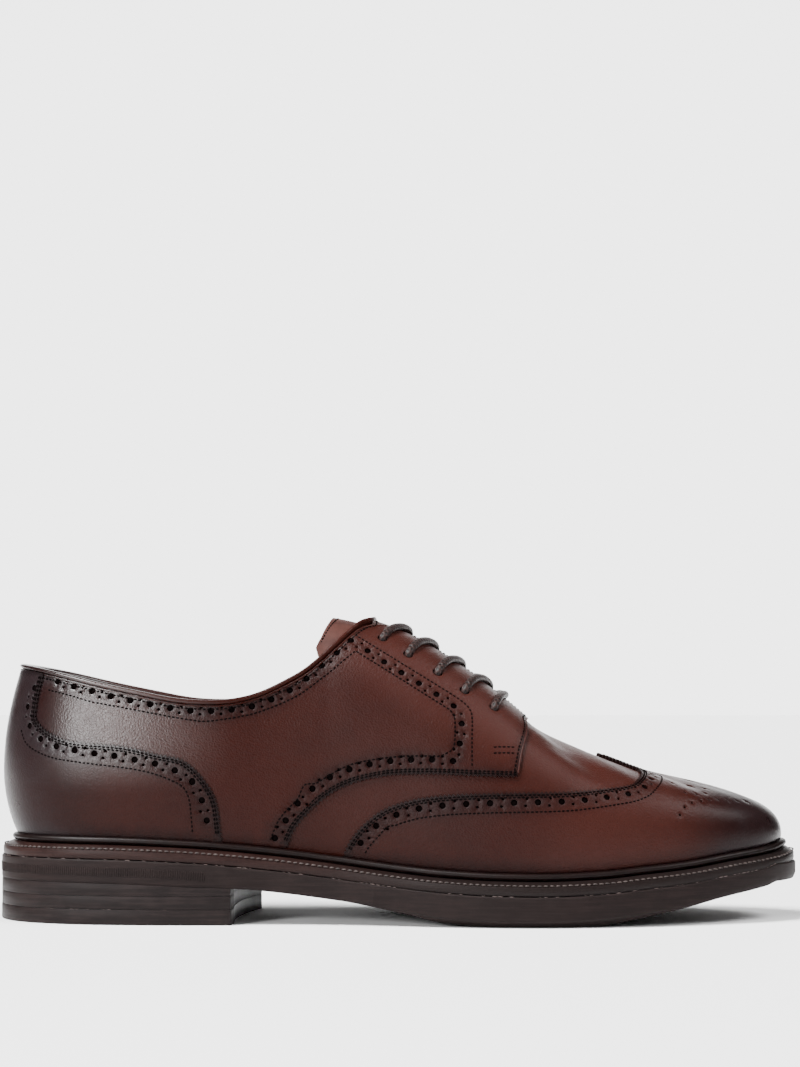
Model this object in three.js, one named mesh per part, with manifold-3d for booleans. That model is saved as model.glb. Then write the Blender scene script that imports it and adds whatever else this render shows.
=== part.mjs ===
// Wingtip derby shoe for the right foot: hollow upper on a welted rubber sole.
// Toe points to +X, outer side faces -Y, the floor is z = 0. Millimetres.

import * as THREE from "three";
import { mergeVertices } from "three/addons/utils/BufferGeometryUtils.js";
import Module from "manifold-3d";

const wasm = await Module();
wasm.setup();

// Sizes of the last, the form that the upper is pulled over
const lastLength = 288.7;
const ballWidth = 82;
const instepRise = 86;
const heelPitch = 13.1;
const toeSpring = 10.5;

// How full the curve from the bead to the widest point is, as shares of its rise and bulge
const beltHandle = { rise: 0.35, out: 0.6, fall: 0.4 };

// Sizes of the upper
const upperWall = 2.0;
const quarterThickness = 1.1;
const capThickness = 1.4;
const counterThickness = 1.5;
const tongueThickness = 2.2;
const tongueWidth = 0.512;
const tongueFrontWidth = 0.8;
const tongueRounding = 0.45;
const tongueBack = 0.39;
const tongueTuck = 14;
const facingGap = 13;
const facingLength = 55;
const facingSpread = 0.085;
const facingFrontShare = 0.651;
const throatSlack = 60;
const bindingRadius = 1.7;

// Sizes of the sole, from the bead down to the tread
const beadHeight = 2.7;
const beadWidth = 3.4;
const weltSlope = 1.5;
const weltEdge = 3.6;
const weltLedge = 5.2;
const footTuck = 3.0;
const soleEdge = 9.0;
const soleLip = 0.6;
const treadDepth = 2.4;
const treadInset = 3.4;
const leastStep = 0.01;
const insoleThickness = 2.6;

// Sizes of the heel
const heelLength = 92;
const breastSkew = 11.7;
const breastRound = 0.39;
const topLiftHeight = 5.8;
const liftHeight = 5;
const liftStep = 0.3;
const breastHollow = 3;

// Sizes of the laces and their holes
const eyeletCount = 5;
const eyeletPitch = 10.6;
const eyeletRadius = 1.7;
const firstEyelet = 4.5;
const eyeletOffset = 8.5;
const laceRadius = 1.7;

// Clearance between two pieces that lie on each other
const gap = 0.3;

// Fineness of the facets, and rounds of halving until a place on the form is found
const stepsPerRow = 2;
const beltSteps = 2;
const crownSteps = 5;
const beltLine = 1;
const bellyLine = beltLine + beltSteps;
const crestLine = bellyLine + crownSteps;
const boundSides = 6;
const bindingSteps = 46;
const laceSteps = 6;
const laceSides = 5;
const holeSides = 10;
const roundSteps = 8;
const halvings = 24;

function table(names, rows) {
  const keys = names.split(" ");
  return rows.map((row) => Object.fromEntries(keys.map((key, index) => [key, row[index]])));
}

// Columns of the last from the middle of the heel to the tip of the toe, for both sides.
// along and topAlong are shares of lastLength. lateral, medial, swing, bellyOut and topHalf
// are shares of ballWidth. bellyRise and topRise are shares of instepRise over the bead line.
// steep is the slope of the crown in degrees, shoulder and crown say how full the curve is.
const columns = table(
  "along lateral medial swing bellyOut bellyRise topAlong topHalf topRise steep shoulder crown ledge",
  [
    [0.0, 0, 0, 0, 0.061, 0.286, 0.034, 0, 0.995, 70, 0.36, 0.3, 1.06],
    [0.0104, 0.134, 0.134, 0, 0.056, 0.286, 0.041, 0.1, 0.995, 70, 0.36, 0.3, 1.04],
    [0.036, 0.239, 0.239, 0, 0.046, 0.286, 0.064, 0.18, 0.995, 70, 0.36, 0.3, 1.0],
    [0.0845, 0.321, 0.317, 0, 0.039, 0.286, 0.109, 0.25, 0.995, 70, 0.36, 0.3, 0.95],
    [0.161, 0.366, 0.351, 0, 0.037, 0.286, 0.175, 0.285, 1.0, 70, 0.36, 0.3, 0.92],
    [0.244, 0.376, 0.337, 0, 0.032, 0.256, 0.247, 0.285, 1.015, 68, 0.36, 0.3, 0.92],
    [0.327, 0.371, 0.3, 0, 0.027, 0.232, 0.313, 0.2, 1.031, 55, 0.38, 0.36, 0.92],
    [0.41, 0.383, 0.285, 0, 0.024, 0.209, 0.375, 0, 1.04, 12, 0.46, 0.44, 0.95],
    [0.493, 0.429, 0.32, 0, 0.022, 0.163, 0.434, 0, 1.035, 0, 0.5, 0.42, 1.0],
    [0.569, 0.485, 0.383, 0.002, 0.02, 0.14, 0.5, 0, 0.99, 0, 0.52, 0.42, 1.08],
    [0.646, 0.522, 0.444, 0.006, 0.02, 0.128, 0.563, 0, 0.886, 0, 0.52, 0.45, 1.12],
    [0.715, 0.524, 0.476, 0.011, 0.02, 0.116, 0.621, 0, 0.749, 0, 0.52, 0.5, 1.12],
    [0.781, 0.497, 0.459, 0.017, 0.017, 0.105, 0.677, 0, 0.597, 0, 0.55, 0.55, 1.08],
    [0.84, 0.449, 0.408, 0.022, 0.015, 0.093, 0.729, 0, 0.506, 0, 0.58, 0.58, 1.04],
    [0.892, 0.382, 0.342, 0.026, 0.012, 0.076, 0.774, 0, 0.435, 0, 0.6, 0.6, 1.0],
    [0.938, 0.298, 0.266, 0.028, 0.01, 0.058, 0.808, 0, 0.378, 0, 0.58, 0.61, 0.98],
    [0.973, 0.204, 0.184, 0.029, 0.007, 0.041, 0.836, 0, 0.342, 0, 0.55, 0.62, 0.96],
    [0.993, 0.106, 0.096, 0.03, 0.004, 0.022, 0.857, 0, 0.319, 0, 0.48, 0.64, 0.95],
    [1.0, 0, 0, 0.03, 0.003, 0.018, 0.867, 0, 0.307, 0, 0.46, 0.64, 0.95],
  ],
);

// First column whose two sides meet on the crest; behind it the last is open at its top
const crestColumn = columns.findIndex((row, index) => index > 0 && row.topHalf === 0);

// Bottom of the last: shares of heelPitch, toeSpring, soleEdge and treadDepth along lastLength
const bottom = table("along pitch spring edge tread", [
  [0, 1, 0, 1, 0],
  [0.109, 0.985, 0, 1, 0],
  [0.216, 0.9, 0, 1, 0],
  [0.32, 0.71, 0, 0.86, 0.02],
  [0.424, 0.435, 0, 0.85, 0.08],
  [0.5, 0.22, 0, 0.94, 0.3],
  [0.56, 0.09, 0, 1, 0.95],
  [0.628, 0.015, 0, 1, 1.12],
  [0.68, 0, 0, 1, 1.12],
  [0.756, 0, 0.076, 1, 1.1],
  [0.812, 0, 0.23, 0.97, 0.7],
  [0.864, 0, 0.37, 0.91, 0.3],
  [0.923, 0, 0.62, 0.83, 0.06],
  [0.982, 0, 0.857, 0.78, 0],
  [1, 0, 1, 0.78, 0],
]);

// Lines on the side of the shoe: along is a share of lastLength, rise of instepRise
const topline = table("along rise", [
  [-0.03, 0.76],
  [0.001, 0.748],
  [0.05, 0.716],
  [0.107, 0.672],
  [0.16, 0.639],
  [0.213, 0.614],
  [0.259, 0.617],
  [0.291, 0.639],
  [0.317, 0.673],
  [0.343, 0.723],
  [0.369, 0.782],
  [0.395, 0.864],
  [0.428, 0.982],
  [0.444, 1.027],
  [0.46, 1.05],
]);

const quarterLine = table("along rise", [
  [0.353, 0.006],
  [0.363, 0.091],
  [0.382, 0.173],
  [0.407, 0.257],
  [0.435, 0.317],
  [0.467, 0.36],
  [0.498, 0.387],
  [0.545, 0.407],
  [0.592, 0.412],
  [0.651, 0.413],
]);

const facingFront = table("along rise", [
  [0.651, 0.413],
  [0.658, 0.526],
  [0.666, 0.612],
  [0.666, 0.653],
  [0.66, 0.696],
  [0.647, 0.745],
  [0.635, 0.8],
]);

const counterLine = table("along rise", [
  [0.036, 0.85],
  [0.032, 0.703],
  [0.025, 0.604],
  [0.022, 0.516],
  [0.026, 0.491],
  [0.039, 0.451],
  [0.072, 0.41],
  [0.14, 0.393],
  [0.186, 0.364],
  [0.212, 0.351],
  [0.227, 0.327],
  [0.242, 0.28],
  [0.255, 0.223],
  [0.263, 0.155],
  [0.269, 0.01],
]);

const wingLine = table("along rise", [
  [0.426, -0.004],
  [0.435, 0.065],
  [0.454, 0.152],
  [0.479, 0.226],
  [0.516, 0.283],
  [0.56, 0.318],
  [0.607, 0.336],
  [0.654, 0.344],
  [0.725, 0.346],
  [0.788, 0.35],
  [0.805, 0.357],
  [0.822, 0.372],
]);

// Peak of the wing cap seen from above: across is a share of ballWidth
const wingPeak = table("along across", [
  [0.826, 0.19],
  [0.806, 0.12],
  [0.782, 0.05],
  [0.766, 0],
]);

// Slopes come from the neighbours and are held where the value would turn back on itself
function readTable(rows, key, along) {
  const last = rows.length - 1;
  const held = THREE.MathUtils.clamp(along, rows[0].along, rows[last].along);
  let index = 0;
  while (index < last - 1 && held > rows[index + 1].along) {
    index += 1;
  }
  const slopeAt = (row) => {
    const before = rows[Math.max(0, row - 1)];
    const here = rows[row];
    const after = rows[Math.min(last, row + 1)];
    const left = here === before ? 0 : (here[key] - before[key]) / (here.along - before.along);
    const right = here === after ? 0 : (after[key] - here[key]) / (after.along - here.along);
    return left * right <= 0 ? 0 : (2 * left * right) / (left + right);
  };
  const from = rows[index];
  const to = rows[index + 1];
  const span = to.along - from.along;
  const part = (held - from.along) / span;
  const square = part * part;
  const cube = square * part;
  return (
    from[key] * (2 * cube - 3 * square + 1) +
    to[key] * (3 * square - 2 * cube) +
    slopeAt(index) * span * (cube - 2 * square + part) +
    slopeAt(index + 1) * span * (cube - square)
  );
}

// The two sides mirror each other past the heel and the toe: even values keep their sign
function readColumn(key, row, odd = false) {
  const last = columns.length - 1;
  const valueAt = (index) => {
    if (index < 0) {
      return (odd ? -1 : 1) * columns[-index][key];
    }
    return index > last ? (odd ? -1 : 1) * columns[2 * last - index][key] : columns[index][key];
  };
  const index = Math.min(last - 1, Math.floor(row));
  const part = row - index;
  const [a, b, c, d] = [-1, 0, 1, 2].map((step) => valueAt(index + step));
  const bend = 2 * a - 5 * b + 4 * c - d;
  return b + 0.5 * part * (c - a + part * (bend + part * (3 * (b - c) + d - a)));
}

// Heights of the sole, worked out from the floor up
const randStack = gap + beadHeight + weltSlope + weltEdge + gap;
const soleTopDrop = randStack + gap;
const footDrop = randStack;
const forefootHeight = soleTopDrop + soleEdge + treadDepth;
const heelEnd = -lastLength / 2;

const stationX = (along) => heelEnd + along * lastLength;
const stationAlong = (x) => (x - heelEnd) / lastLength;

function beadLevel(x) {
  const along = stationAlong(x);
  const pitch = readTable(bottom, "pitch", along) * heelPitch;
  return forefootHeight + pitch + readTable(bottom, "spring", along) * toeSpring;
}

function edgeLevel(x) {
  return beadLevel(x) - soleTopDrop - readTable(bottom, "edge", stationAlong(x)) * soleEdge;
}

function undersideLevel(x) {
  const tread = readTable(bottom, "tread", stationAlong(x)) * treadDepth;
  return Math.max(0, edgeLevel(x) - tread);
}

// turn runs once around the shoe: 0 at the heel, 0.5 at the toe, lateral side first
const lastColumn = columns.length - 1;
const sideOf = (turn) => (turn < 0.5 ? -1 : 1);
const rowOf = (turn) => lastColumn * (turn < 0.5 ? 2 * turn : 2 - 2 * turn);
const turnOf = (side, row) => (side < 0 ? row / lastColumn / 2 : 1 - row / lastColumn / 2);
const wrapTurn = (turn) => turn - Math.floor(turn);
const meetsOnCrest = (turn) => rowOf(turn) > crestColumn - 1e-6;

function planPoint(turn) {
  const row = rowOf(turn);
  const side = sideOf(turn);
  const half = readColumn(side < 0 ? "lateral" : "medial", row, true);
  const y = (readColumn("swing", row) + side * half) * ballWidth;
  return new THREE.Vector2(stationX(readColumn("along", row)), y);
}

function planNormal(turn) {
  const step = 0.002;
  const before = planPoint(wrapTurn(turn - step));
  const after = planPoint(wrapTurn(turn + step));
  return new THREE.Vector2(after.y - before.y, before.x - after.x).normalize();
}

function outlinePoint(turn, out) {
  return planPoint(turn).addScaledVector(planNormal(turn), out);
}

function cubic(a, b, c, d, t) {
  const s = 1 - t;
  return new THREE.Vector3()
    .addScaledVector(a, s * s * s)
    .addScaledVector(b, 3 * s * s * t)
    .addScaledVector(c, 3 * s * t * t)
    .addScaledVector(d, t * t * t);
}

function crestPoint(turn) {
  const row = rowOf(turn);
  const x = stationX(readColumn("topAlong", row));
  const half = meetsOnCrest(turn) ? 0 : Math.max(0, readColumn("topHalf", row, true));
  const y = (readColumn("swing", row) + sideOf(turn) * half) * ballWidth;
  return new THREE.Vector3(x, y, beadLevel(x) + readColumn("topRise", row) * instepRise);
}

function crestSlope(row) {
  const reach = 0.25;
  const before = crestPoint(turnOf(-1, Math.max(crestColumn, row - reach)));
  const after = crestPoint(turnOf(-1, Math.min(lastColumn, row + reach)));
  return (after.z - before.z) / (after.x - before.x);
}

// level counts up one column: 0 foot, beltLine bead, bellyLine widest point, crestLine top
function lastPoint(turn, level) {
  const row = rowOf(turn);
  const normal = planNormal(turn);
  const out = new THREE.Vector3(normal.x, normal.y, 0);
  const plan = planPoint(turn);
  const bead = new THREE.Vector3(plan.x, plan.y, beadLevel(plan.x));
  if (level < beltLine) {
    const drop = 1 - level / beltLine;
    const foot = bead.clone().addScaledVector(out, -footTuck * drop);
    foot.z -= footDrop * drop;
    return foot;
  }
  const rise = readColumn("bellyRise", row) * instepRise;
  const bulge = readColumn("bellyOut", row) * ballWidth;
  const belly = bead.clone().addScaledVector(out, bulge);
  belly.z += rise;
  const up = (point, height) => point.clone().setZ(point.z + height);
  if (level < bellyLine) {
    const low = up(bead, rise * beltHandle.rise).addScaledVector(out, bulge * beltHandle.out);
    const high = up(belly, -rise * beltHandle.fall);
    return cubic(bead, low, high, belly, (level - beltLine) / beltSteps);
  }
  const crest = crestPoint(turn);
  const outward = new THREE.Vector3(belly.x - crest.x, belly.y - crest.y, 0);
  const spread = outward.length();
  outward.normalize();
  const angle = THREE.MathUtils.degToRad(readColumn("steep", row));
  const handle = readColumn("crown", row) * Math.hypot(spread, crest.z - belly.z);
  const fall = meetsOnCrest(turn) ? crestSlope(row) * outward.x * Math.cos(angle) : 0;
  const over = crest.clone().addScaledVector(outward, handle * Math.cos(angle));
  over.z += handle * (fall - Math.sin(angle));
  const full = up(belly, readColumn("shoulder", row) * (crest.z - belly.z));
  return cubic(belly, full, over, crest, (level - bellyLine) / crownSteps);
}

function lastNormal(turn, level) {
  const plan = planNormal(turn);
  if (level <= beltLine) {
    return new THREE.Vector3(plan.x, plan.y, 0);
  }
  const reach = 0.004;
  const climb = 0.12;
  const middle = Math.min(level, crestLine - climb);
  const around = lastPoint(wrapTurn(turn + reach), middle);
  around.sub(lastPoint(wrapTurn(turn - reach), middle));
  const upward = lastPoint(turn, middle + climb).sub(lastPoint(turn, middle - climb));
  const normal = around.cross(upward).normalize();
  const fade = Math.min(1, level - beltLine);
  return new THREE.Vector3(plan.x, plan.y, 0).lerp(normal, fade).normalize();
}

// A point of the last, moved out by a distance along the surface's normal
function formPoint(turn, level, out) {
  const normal = lastNormal(turn, level);
  if (level >= crestLine && meetsOnCrest(turn)) {
    normal.add(lastNormal(wrapTurn(1 - turn), level)).normalize();
  }
  return lastPoint(turn, level).addScaledVector(normal, out);
}

function solidOf(geometry) {
  const bare = geometry.clone();
  bare.deleteAttribute("normal");
  bare.deleteAttribute("uv");
  const merged = mergeVertices(bare, 1e-4);
  return new wasm.Manifold(
    new wasm.Mesh({
      numProp: 3,
      vertProperties: new Float32Array(merged.attributes.position.array),
      triVerts: new Uint32Array(merged.index.array),
    }),
  );
}

function geometryOf(solid) {
  const mesh = solid.getMesh();
  const geometry = new THREE.BufferGeometry();
  const positions = new Float32Array(mesh.numVert * 3);
  for (let index = 0; index < mesh.numVert; index += 1) {
    for (let axis = 0; axis < 3; axis += 1) {
      positions[index * 3 + axis] = mesh.vertProperties[index * mesh.numProp + axis];
    }
  }
  geometry.setAttribute("position", new THREE.BufferAttribute(positions, 3));
  geometry.setIndex(new THREE.BufferAttribute(new Uint32Array(mesh.triVerts), 1));
  geometry.computeVertexNormals();
  return geometry;
}

function geometryFrom(points, faces) {
  const geometry = new THREE.BufferGeometry();
  const positions = points.flatMap((point) => point.toArray());
  geometry.setAttribute("position", new THREE.Float32BufferAttribute(positions, 3));
  geometry.setIndex(faces.flat());
  geometry.computeVertexNormals();
  return geometry;
}

// Walls between two forms of the last, from startLevel up to the crest or the open top
const turnCount = 2 * lastColumn * stepsPerRow;
const gridTurn = (index) => wrapTurn(index / turnCount);

function shell(innerOut, outerOut, startLevel = 0) {
  const points = [];
  const faces = [];
  const levels = [];
  for (let level = Math.floor(startLevel); level <= crestLine; level += 1) {
    levels.push(Math.max(level, startLevel));
  }
  const vertexOf = [innerOut, outerOut].map((out) => levels.map((level) => {
    const line = [];
    for (let index = 0; index < turnCount; index += 1) {
      const turn = gridTurn(index);
      const mirror = turnCount - index;
      const onCrest = level === crestLine && meetsOnCrest(turn);
      if (onCrest && mirror < index) {
        line.push(line[mirror]);
        continue;
      }
      line.push(points.length);
      points.push(formPoint(turn, level, out));
    }
    return line;
  }));
  const quad = (a, b, c, d) => {
    faces.push([a, b, c], [a, c, d]);
  };
  const [inside, outside] = vertexOf;
  const top = levels.length - 1;
  for (let index = 0; index < turnCount; index += 1) {
    const next = (index + 1) % turnCount;
    for (let step = 0; step < top; step += 1) {
      for (const [wall, outward] of [[outside, true], [inside, false]]) {
        const [low, high] = [wall[step], wall[step + 1]];
        const near = [low[index], low[next], high[next]];
        const other = [low[index], high[next], high[index]];
        faces.push(...(outward ? [near, other] : [near.reverse(), other.reverse()]));
      }
    }
    quad(inside[0][index], inside[0][next], outside[0][next], outside[0][index]);
    if (!meetsOnCrest(gridTurn(index)) || !meetsOnCrest(gridTurn(next))) {
      quad(outside[top][index], outside[top][next], inside[top][next], inside[top][index]);
    }
  }
  return solidOf(geometryFrom(points, faces));
}

// A ring around the shoe: section is a list of [distance out, height over the bead line]
function ringAround(section) {
  const points = [];
  const faces = [];
  const count = section.length;
  for (let index = 0; index < turnCount; index += 1) {
    const turn = gridTurn(index);
    const level = beadLevel(planPoint(turn).x);
    for (const [out, height] of section) {
      const ledge = typeof out === "function" ? out(turn) : out;
      const place = outlinePoint(turn, ledge);
      points.push(new THREE.Vector3(place.x, place.y, level + height));
    }
  }
  for (let index = 0; index < turnCount; index += 1) {
    const here = index * count;
    const there = ((index + 1) % turnCount) * count;
    for (let corner = 0; corner < count; corner += 1) {
      const next = (corner + 1) % count;
      faces.push([here + corner, there + corner, there + next]);
      faces.push([here + corner, there + next, here + next]);
    }
  }
  return geometryFrom(points, faces);
}

// A plate under the foot: rings from the bottom up, closed across from side to side
function plate(rings) {
  const points = [];
  const faces = [];
  for (const ring of rings) {
    for (let index = 0; index < turnCount; index += 1) {
      const turn = gridTurn(index);
      const place = outlinePoint(turn, ring.out(turn));
      points.push(new THREE.Vector3(place.x, place.y, ring.level(planPoint(turn).x)));
    }
  }
  for (let step = 0; step < rings.length - 1; step += 1) {
    for (let index = 0; index < turnCount; index += 1) {
      const next = (index + 1) % turnCount;
      const low = step * turnCount;
      const high = low + turnCount;
      faces.push([low + index, low + next, high + next]);
      faces.push([low + index, high + next, high + index]);
    }
  }
  const topRing = (rings.length - 1) * turnCount;
  const cap = (start, upward) => {
    for (let index = 0; index < turnCount / 2; index += 1) {
      const left = start + index;
      const leftNext = left + 1;
      const right = start + ((turnCount - index) % turnCount);
      const rightNext = start + turnCount - index - 1;
      const near = [left, leftNext, rightNext];
      const far = [left, rightNext, right];
      for (const face of [near, far]) {
        if (new Set(face).size === 3) {
          faces.push(upward ? face : face.slice().reverse());
        }
      }
    }
  };
  cap(0, false);
  cap(topRing, true);
  return geometryFrom(points, faces);
}

function sideShape(points) {
  return new THREE.Shape(points.map((point) => new THREE.Vector2(point.x, point.y)));
}

// Extrudes an outline in x and z through the whole width of the shoe
function sideCutter(points) {
  const depth = ballWidth * 3;
  const geometry = new THREE.ExtrudeGeometry(sideShape(points), { depth, bevelEnabled: false });
  geometry.rotateX(Math.PI / 2);
  geometry.translate(0, depth / 2, 0);
  return solidOf(geometry);
}

// Extrudes an outline in x and y upwards through the whole height
function topCutter(points, low, high) {
  const options = { depth: high - low, bevelEnabled: false };
  const geometry = new THREE.ExtrudeGeometry(sideShape(points), options);
  geometry.translate(0, 0, low);
  return solidOf(geometry);
}

const far = lastLength;

// shift moves the line sideways: upwards on a line that runs towards the toe
function sideLine(rows, shift = 0) {
  const points = rows.map((row) => {
    const x = stationX(row.along);
    return new THREE.Vector2(x, beadLevel(x) + row.rise * instepRise);
  });
  const curve = new THREE.SplineCurve(points);
  const count = rows.length * 2;
  return curve.getPoints(count).map((point, index) => {
    const tangent = curve.getTangent(index / count);
    return new THREE.Vector2(point.x - tangent.y * shift, point.y + tangent.x * shift);
  });
}

const place = (x, y) => new THREE.Vector2(x, y);

// Regions of the side view and the top view that the panels are cut by
const rimDrop = 2 * bindingRadius + gap;
const collarLine = sideLine(topline, -rimDrop);
const collarFront = collarLine[collarLine.length - 1];
const collarCutter = sideCutter([
  place(-far, collarLine[0].y),
  ...collarLine,
  place(collarFront.x, far),
  place(-far, far),
]);

const throatFront = stationX(facingFrontShare);
const throatBack = throatFront - facingLength - throatSlack;

function throatHalf(x) {
  return (facingGap + Math.max(0, throatFront - x) * facingSpread) / 2;
}

function throatOutline(front) {
  const half = throatHalf(throatFront);
  const points = [place(throatBack, -throatHalf(throatBack))];
  for (let step = 0; step <= roundSteps; step += 1) {
    const angle = -Math.PI / 2 + (Math.PI * step) / roundSteps;
    points.push(place(front - half + half * Math.cos(angle), half * Math.sin(angle)));
  }
  points.push(place(throatBack, throatHalf(throatBack)));
  return points;
}

const throatCutter = topCutter(throatOutline(throatFront), instepRise / 2, far);
const facingCutter = topCutter(throatOutline(throatFront + facingGap), instepRise / 2, far);

function counterRegion(clearance) {
  const line = sideLine(counterLine, clearance);
  const lowest = line[line.length - 1];
  return sideCutter([
    place(-far, line[0].y),
    place(-far, -far),
    place(lowest.x, -far),
    ...line.slice().reverse(),
  ]);
}

const quarterCurve = sideLine(quarterLine);
const facingCurve = sideLine(facingFront);
const facingTop = facingCurve[facingCurve.length - 1];
const quarterRegion = sideCutter([
  place(-far, -far),
  place(quarterCurve[0].x, -far),
  ...quarterCurve.slice(0, -1),
  ...facingCurve,
  place(facingTop.x, far),
  place(-far, far),
]);

const wingCurve = sideLine(wingLine);
const wingEnd = wingCurve[wingCurve.length - 1];
const wingFlank = sideCutter([
  place(wingCurve[0].x, -far),
  place(far, -far),
  place(far, far),
  place(wingEnd.x, far),
  ...wingCurve.slice().reverse(),
]);
const peakHalf = wingPeak.map((row) => place(stationX(row.along), row.across * ballWidth));
const peakOutline = [
  ...peakHalf.map((point) => place(point.x, point.y)),
  ...peakHalf.slice(0, -1).reverse().map((point) => place(point.x, -point.y)),
  place(far, -peakHalf[0].y),
  place(far, peakHalf[0].y),
];
const wingCrest = topCutter(peakOutline, forefootHeight, far);
const wingRegion = wingFlank.add(wingCrest);

// Eyelets lie on both sides of the throat, at a fixed distance from its edge
function crestDistanceLevel(turn, distance, out) {
  let level = crestLine;
  let travelled = 0;
  let point = formPoint(turn, level, out);
  const stride = 0.05;
  while (travelled < distance && level > bellyLine) {
    level -= stride;
    const next = formPoint(turn, level, out);
    travelled += next.distanceTo(point);
    point = next;
  }
  return level;
}

function crestRowAt(x) {
  let row = crestColumn;
  while (row < lastColumn && stationX(readColumn("topAlong", row)) < x) {
    row += 0.01;
  }
  return row;
}

const outerFace = upperWall + gap + quarterThickness;

function eyeletSpot(index, side) {
  const x = collarFront.x + firstEyelet + index * eyeletPitch;
  const distance = throatHalf(x) + eyeletOffset;
  let low = crestColumn - 1;
  let high = crestRowAt(x);
  for (let round = 0; round < halvings; round += 1) {
    const row = (low + high) / 2;
    const turn = turnOf(side, row);
    const level = crestDistanceLevel(turn, distance, outerFace);
    if (formPoint(turn, level, outerFace).x < x) {
      low = row;
    } else {
      high = row;
    }
  }
  const turn = turnOf(side, low);
  const level = crestDistanceLevel(turn, distance, outerFace);
  const centre = formPoint(turn, level, 0);
  return { index, side, row: low, level, centre, axis: lastNormal(turn, level) };
}

const eyelets = [];
for (let index = 0; index < eyeletCount; index += 1) {
  eyelets.push(eyeletSpot(index, -1), eyeletSpot(index, 1));
}

function eyeletCutter({ centre, axis }) {
  const length = 8 * (outerFace + tongueThickness);
  const geometry = new THREE.CylinderGeometry(eyeletRadius, eyeletRadius, length, holeSides);
  const turned = new THREE.Quaternion().setFromUnitVectors(new THREE.Vector3(0, 1, 0), axis);
  geometry.applyQuaternion(turned);
  const middle = centre.clone().addScaledVector(axis, length / 2 - gap);
  geometry.translate(middle.x, middle.y, middle.z);
  return solidOf(geometry);
}

const eyeletCutters = eyelets.map(eyeletCutter);

// Solids of the upper
function openAtTop(solid) {
  const open = solid.subtract(collarCutter).subtract(throatCutter);
  return eyeletCutters.reduce((body, cutter) => body.subtract(cutter), open);
}

const skinOut = upperWall + gap;
const upper = openAtTop(shell(0, upperWall));
const quarters = openAtTop(shell(skinOut, skinOut + quarterThickness, beltLine))
  .intersect(quarterRegion)
  .subtract(counterRegion(gap))
  .subtract(facingCutter);
const counter = shell(skinOut, skinOut + counterThickness, beltLine)
  .subtract(collarCutter)
  .intersect(counterRegion(0));
const wingCap = shell(skinOut, skinOut + capThickness, beltLine).intersect(wingRegion);

function halfSpace(side) {
  const geometry = new THREE.BoxGeometry(4 * far, 2 * far, 4 * far);
  geometry.translate(0, side * far, 0);
  return solidOf(geometry);
}

function tongueOutline() {
  const half = (tongueWidth * ballWidth) / 2;
  const rounding = half * tongueRounding;
  const back = stationX(tongueBack) + rounding;
  const front = throatFront + tongueTuck;
  const points = [place(front, -half * tongueFrontWidth), place(front, half * tongueFrontWidth)];
  for (let step = 0; step <= roundSteps; step += 1) {
    const angle = Math.PI / 2 + (Math.PI * step) / roundSteps;
    points.push(place(back + rounding * Math.cos(angle), half * Math.sin(angle)));
  }
  return points;
}

const tongue = shell(-gap - tongueThickness, -gap, bellyLine)
  .intersect(topCutter(tongueOutline(), instepRise / 2, far));

// The rolled binding follows the topline around the collar
function bindingPath() {
  const middle = upperWall;
  const line = sideLine(topline, -bindingRadius);
  const heightAt = (x) => {
    const index = Math.max(1, line.findIndex((point) => point.x >= x));
    const [a, b] = [line[index - 1], line[index]];
    if (x >= collarFront.x) {
      return collarFront.y + rimDrop - bindingRadius;
    }
    return a.y + ((b.y - a.y) * (x - a.x)) / (b.x - a.x);
  };
  const points = [];
  const lastRow = crestRowAt(collarFront.x);
  const rowSteps = 22;
  for (let step = -rowSteps; step <= rowSteps; step += 1) {
    const turn = turnOf(step < 0 ? -1 : 1, (Math.abs(step) / rowSteps) * lastRow);
    let low = bellyLine - 1;
    let high = crestLine;
    for (let round = 0; round < halvings; round += 1) {
      const level = (low + high) / 2;
      const point = formPoint(wrapTurn(turn), level, middle);
      if (point.z < heightAt(point.x)) {
        low = level;
      } else {
        high = level;
      }
    }
    points.push(formPoint(wrapTurn(turn), low, middle));
  }
  return points.filter((point) => point.x < collarFront.x - 2 * bindingRadius);
}

function tube(points, radius, steps, sides) {
  const circle = new THREE.Shape();
  for (let side = 0; side <= sides; side += 1) {
    const angle = (2 * Math.PI * side) / sides;
    const [x, y] = [radius * Math.cos(angle), radius * Math.sin(angle)];
    if (side === 0) {
      circle.moveTo(x, y);
    } else {
      circle.lineTo(x, y);
    }
  }
  const extrudePath = new THREE.CatmullRomCurve3(points, false, "centripetal");
  return new THREE.ExtrudeGeometry(circle, { steps, bevelEnabled: false, extrudePath });
}

// Laces lie over the throat: a straight bar at the front, then crossings up to the top
function lacePath(from, to) {
  const points = [];
  const out = outerFace + gap + laceRadius;
  for (let step = 0; step <= roundSteps; step += 1) {
    const part = (2 * step) / roundSteps - 1;
    const end = part < 0 ? from : to;
    const row = THREE.MathUtils.lerp(from.row, to.row, (part + 1) / 2);
    const level = THREE.MathUtils.lerp(crestLine, end.level, Math.abs(part));
    points.push(formPoint(wrapTurn(turnOf(part < 0 ? from.side : to.side, row)), level, out));
  }
  return points;
}

function eyeletAt(index, side) {
  return eyelets.find((eyelet) => eyelet.index === index && eyelet.side === side);
}

const laceStrands = [[eyeletAt(eyeletCount - 1, -1), eyeletAt(eyeletCount - 1, 1)]];
for (let index = 0; index < eyeletCount - 1; index += 1) {
  laceStrands.push([eyeletAt(index, -1), eyeletAt(index + 1, 1)]);
  laceStrands.push([eyeletAt(index + 1, -1), eyeletAt(index, 1)]);
}
const laces = laceStrands
  .map(([from, to]) => solidOf(tube(lacePath(from, to), laceRadius, laceSteps, laceSides)))
  .reduce((body, strand) => body.add(strand));

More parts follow.
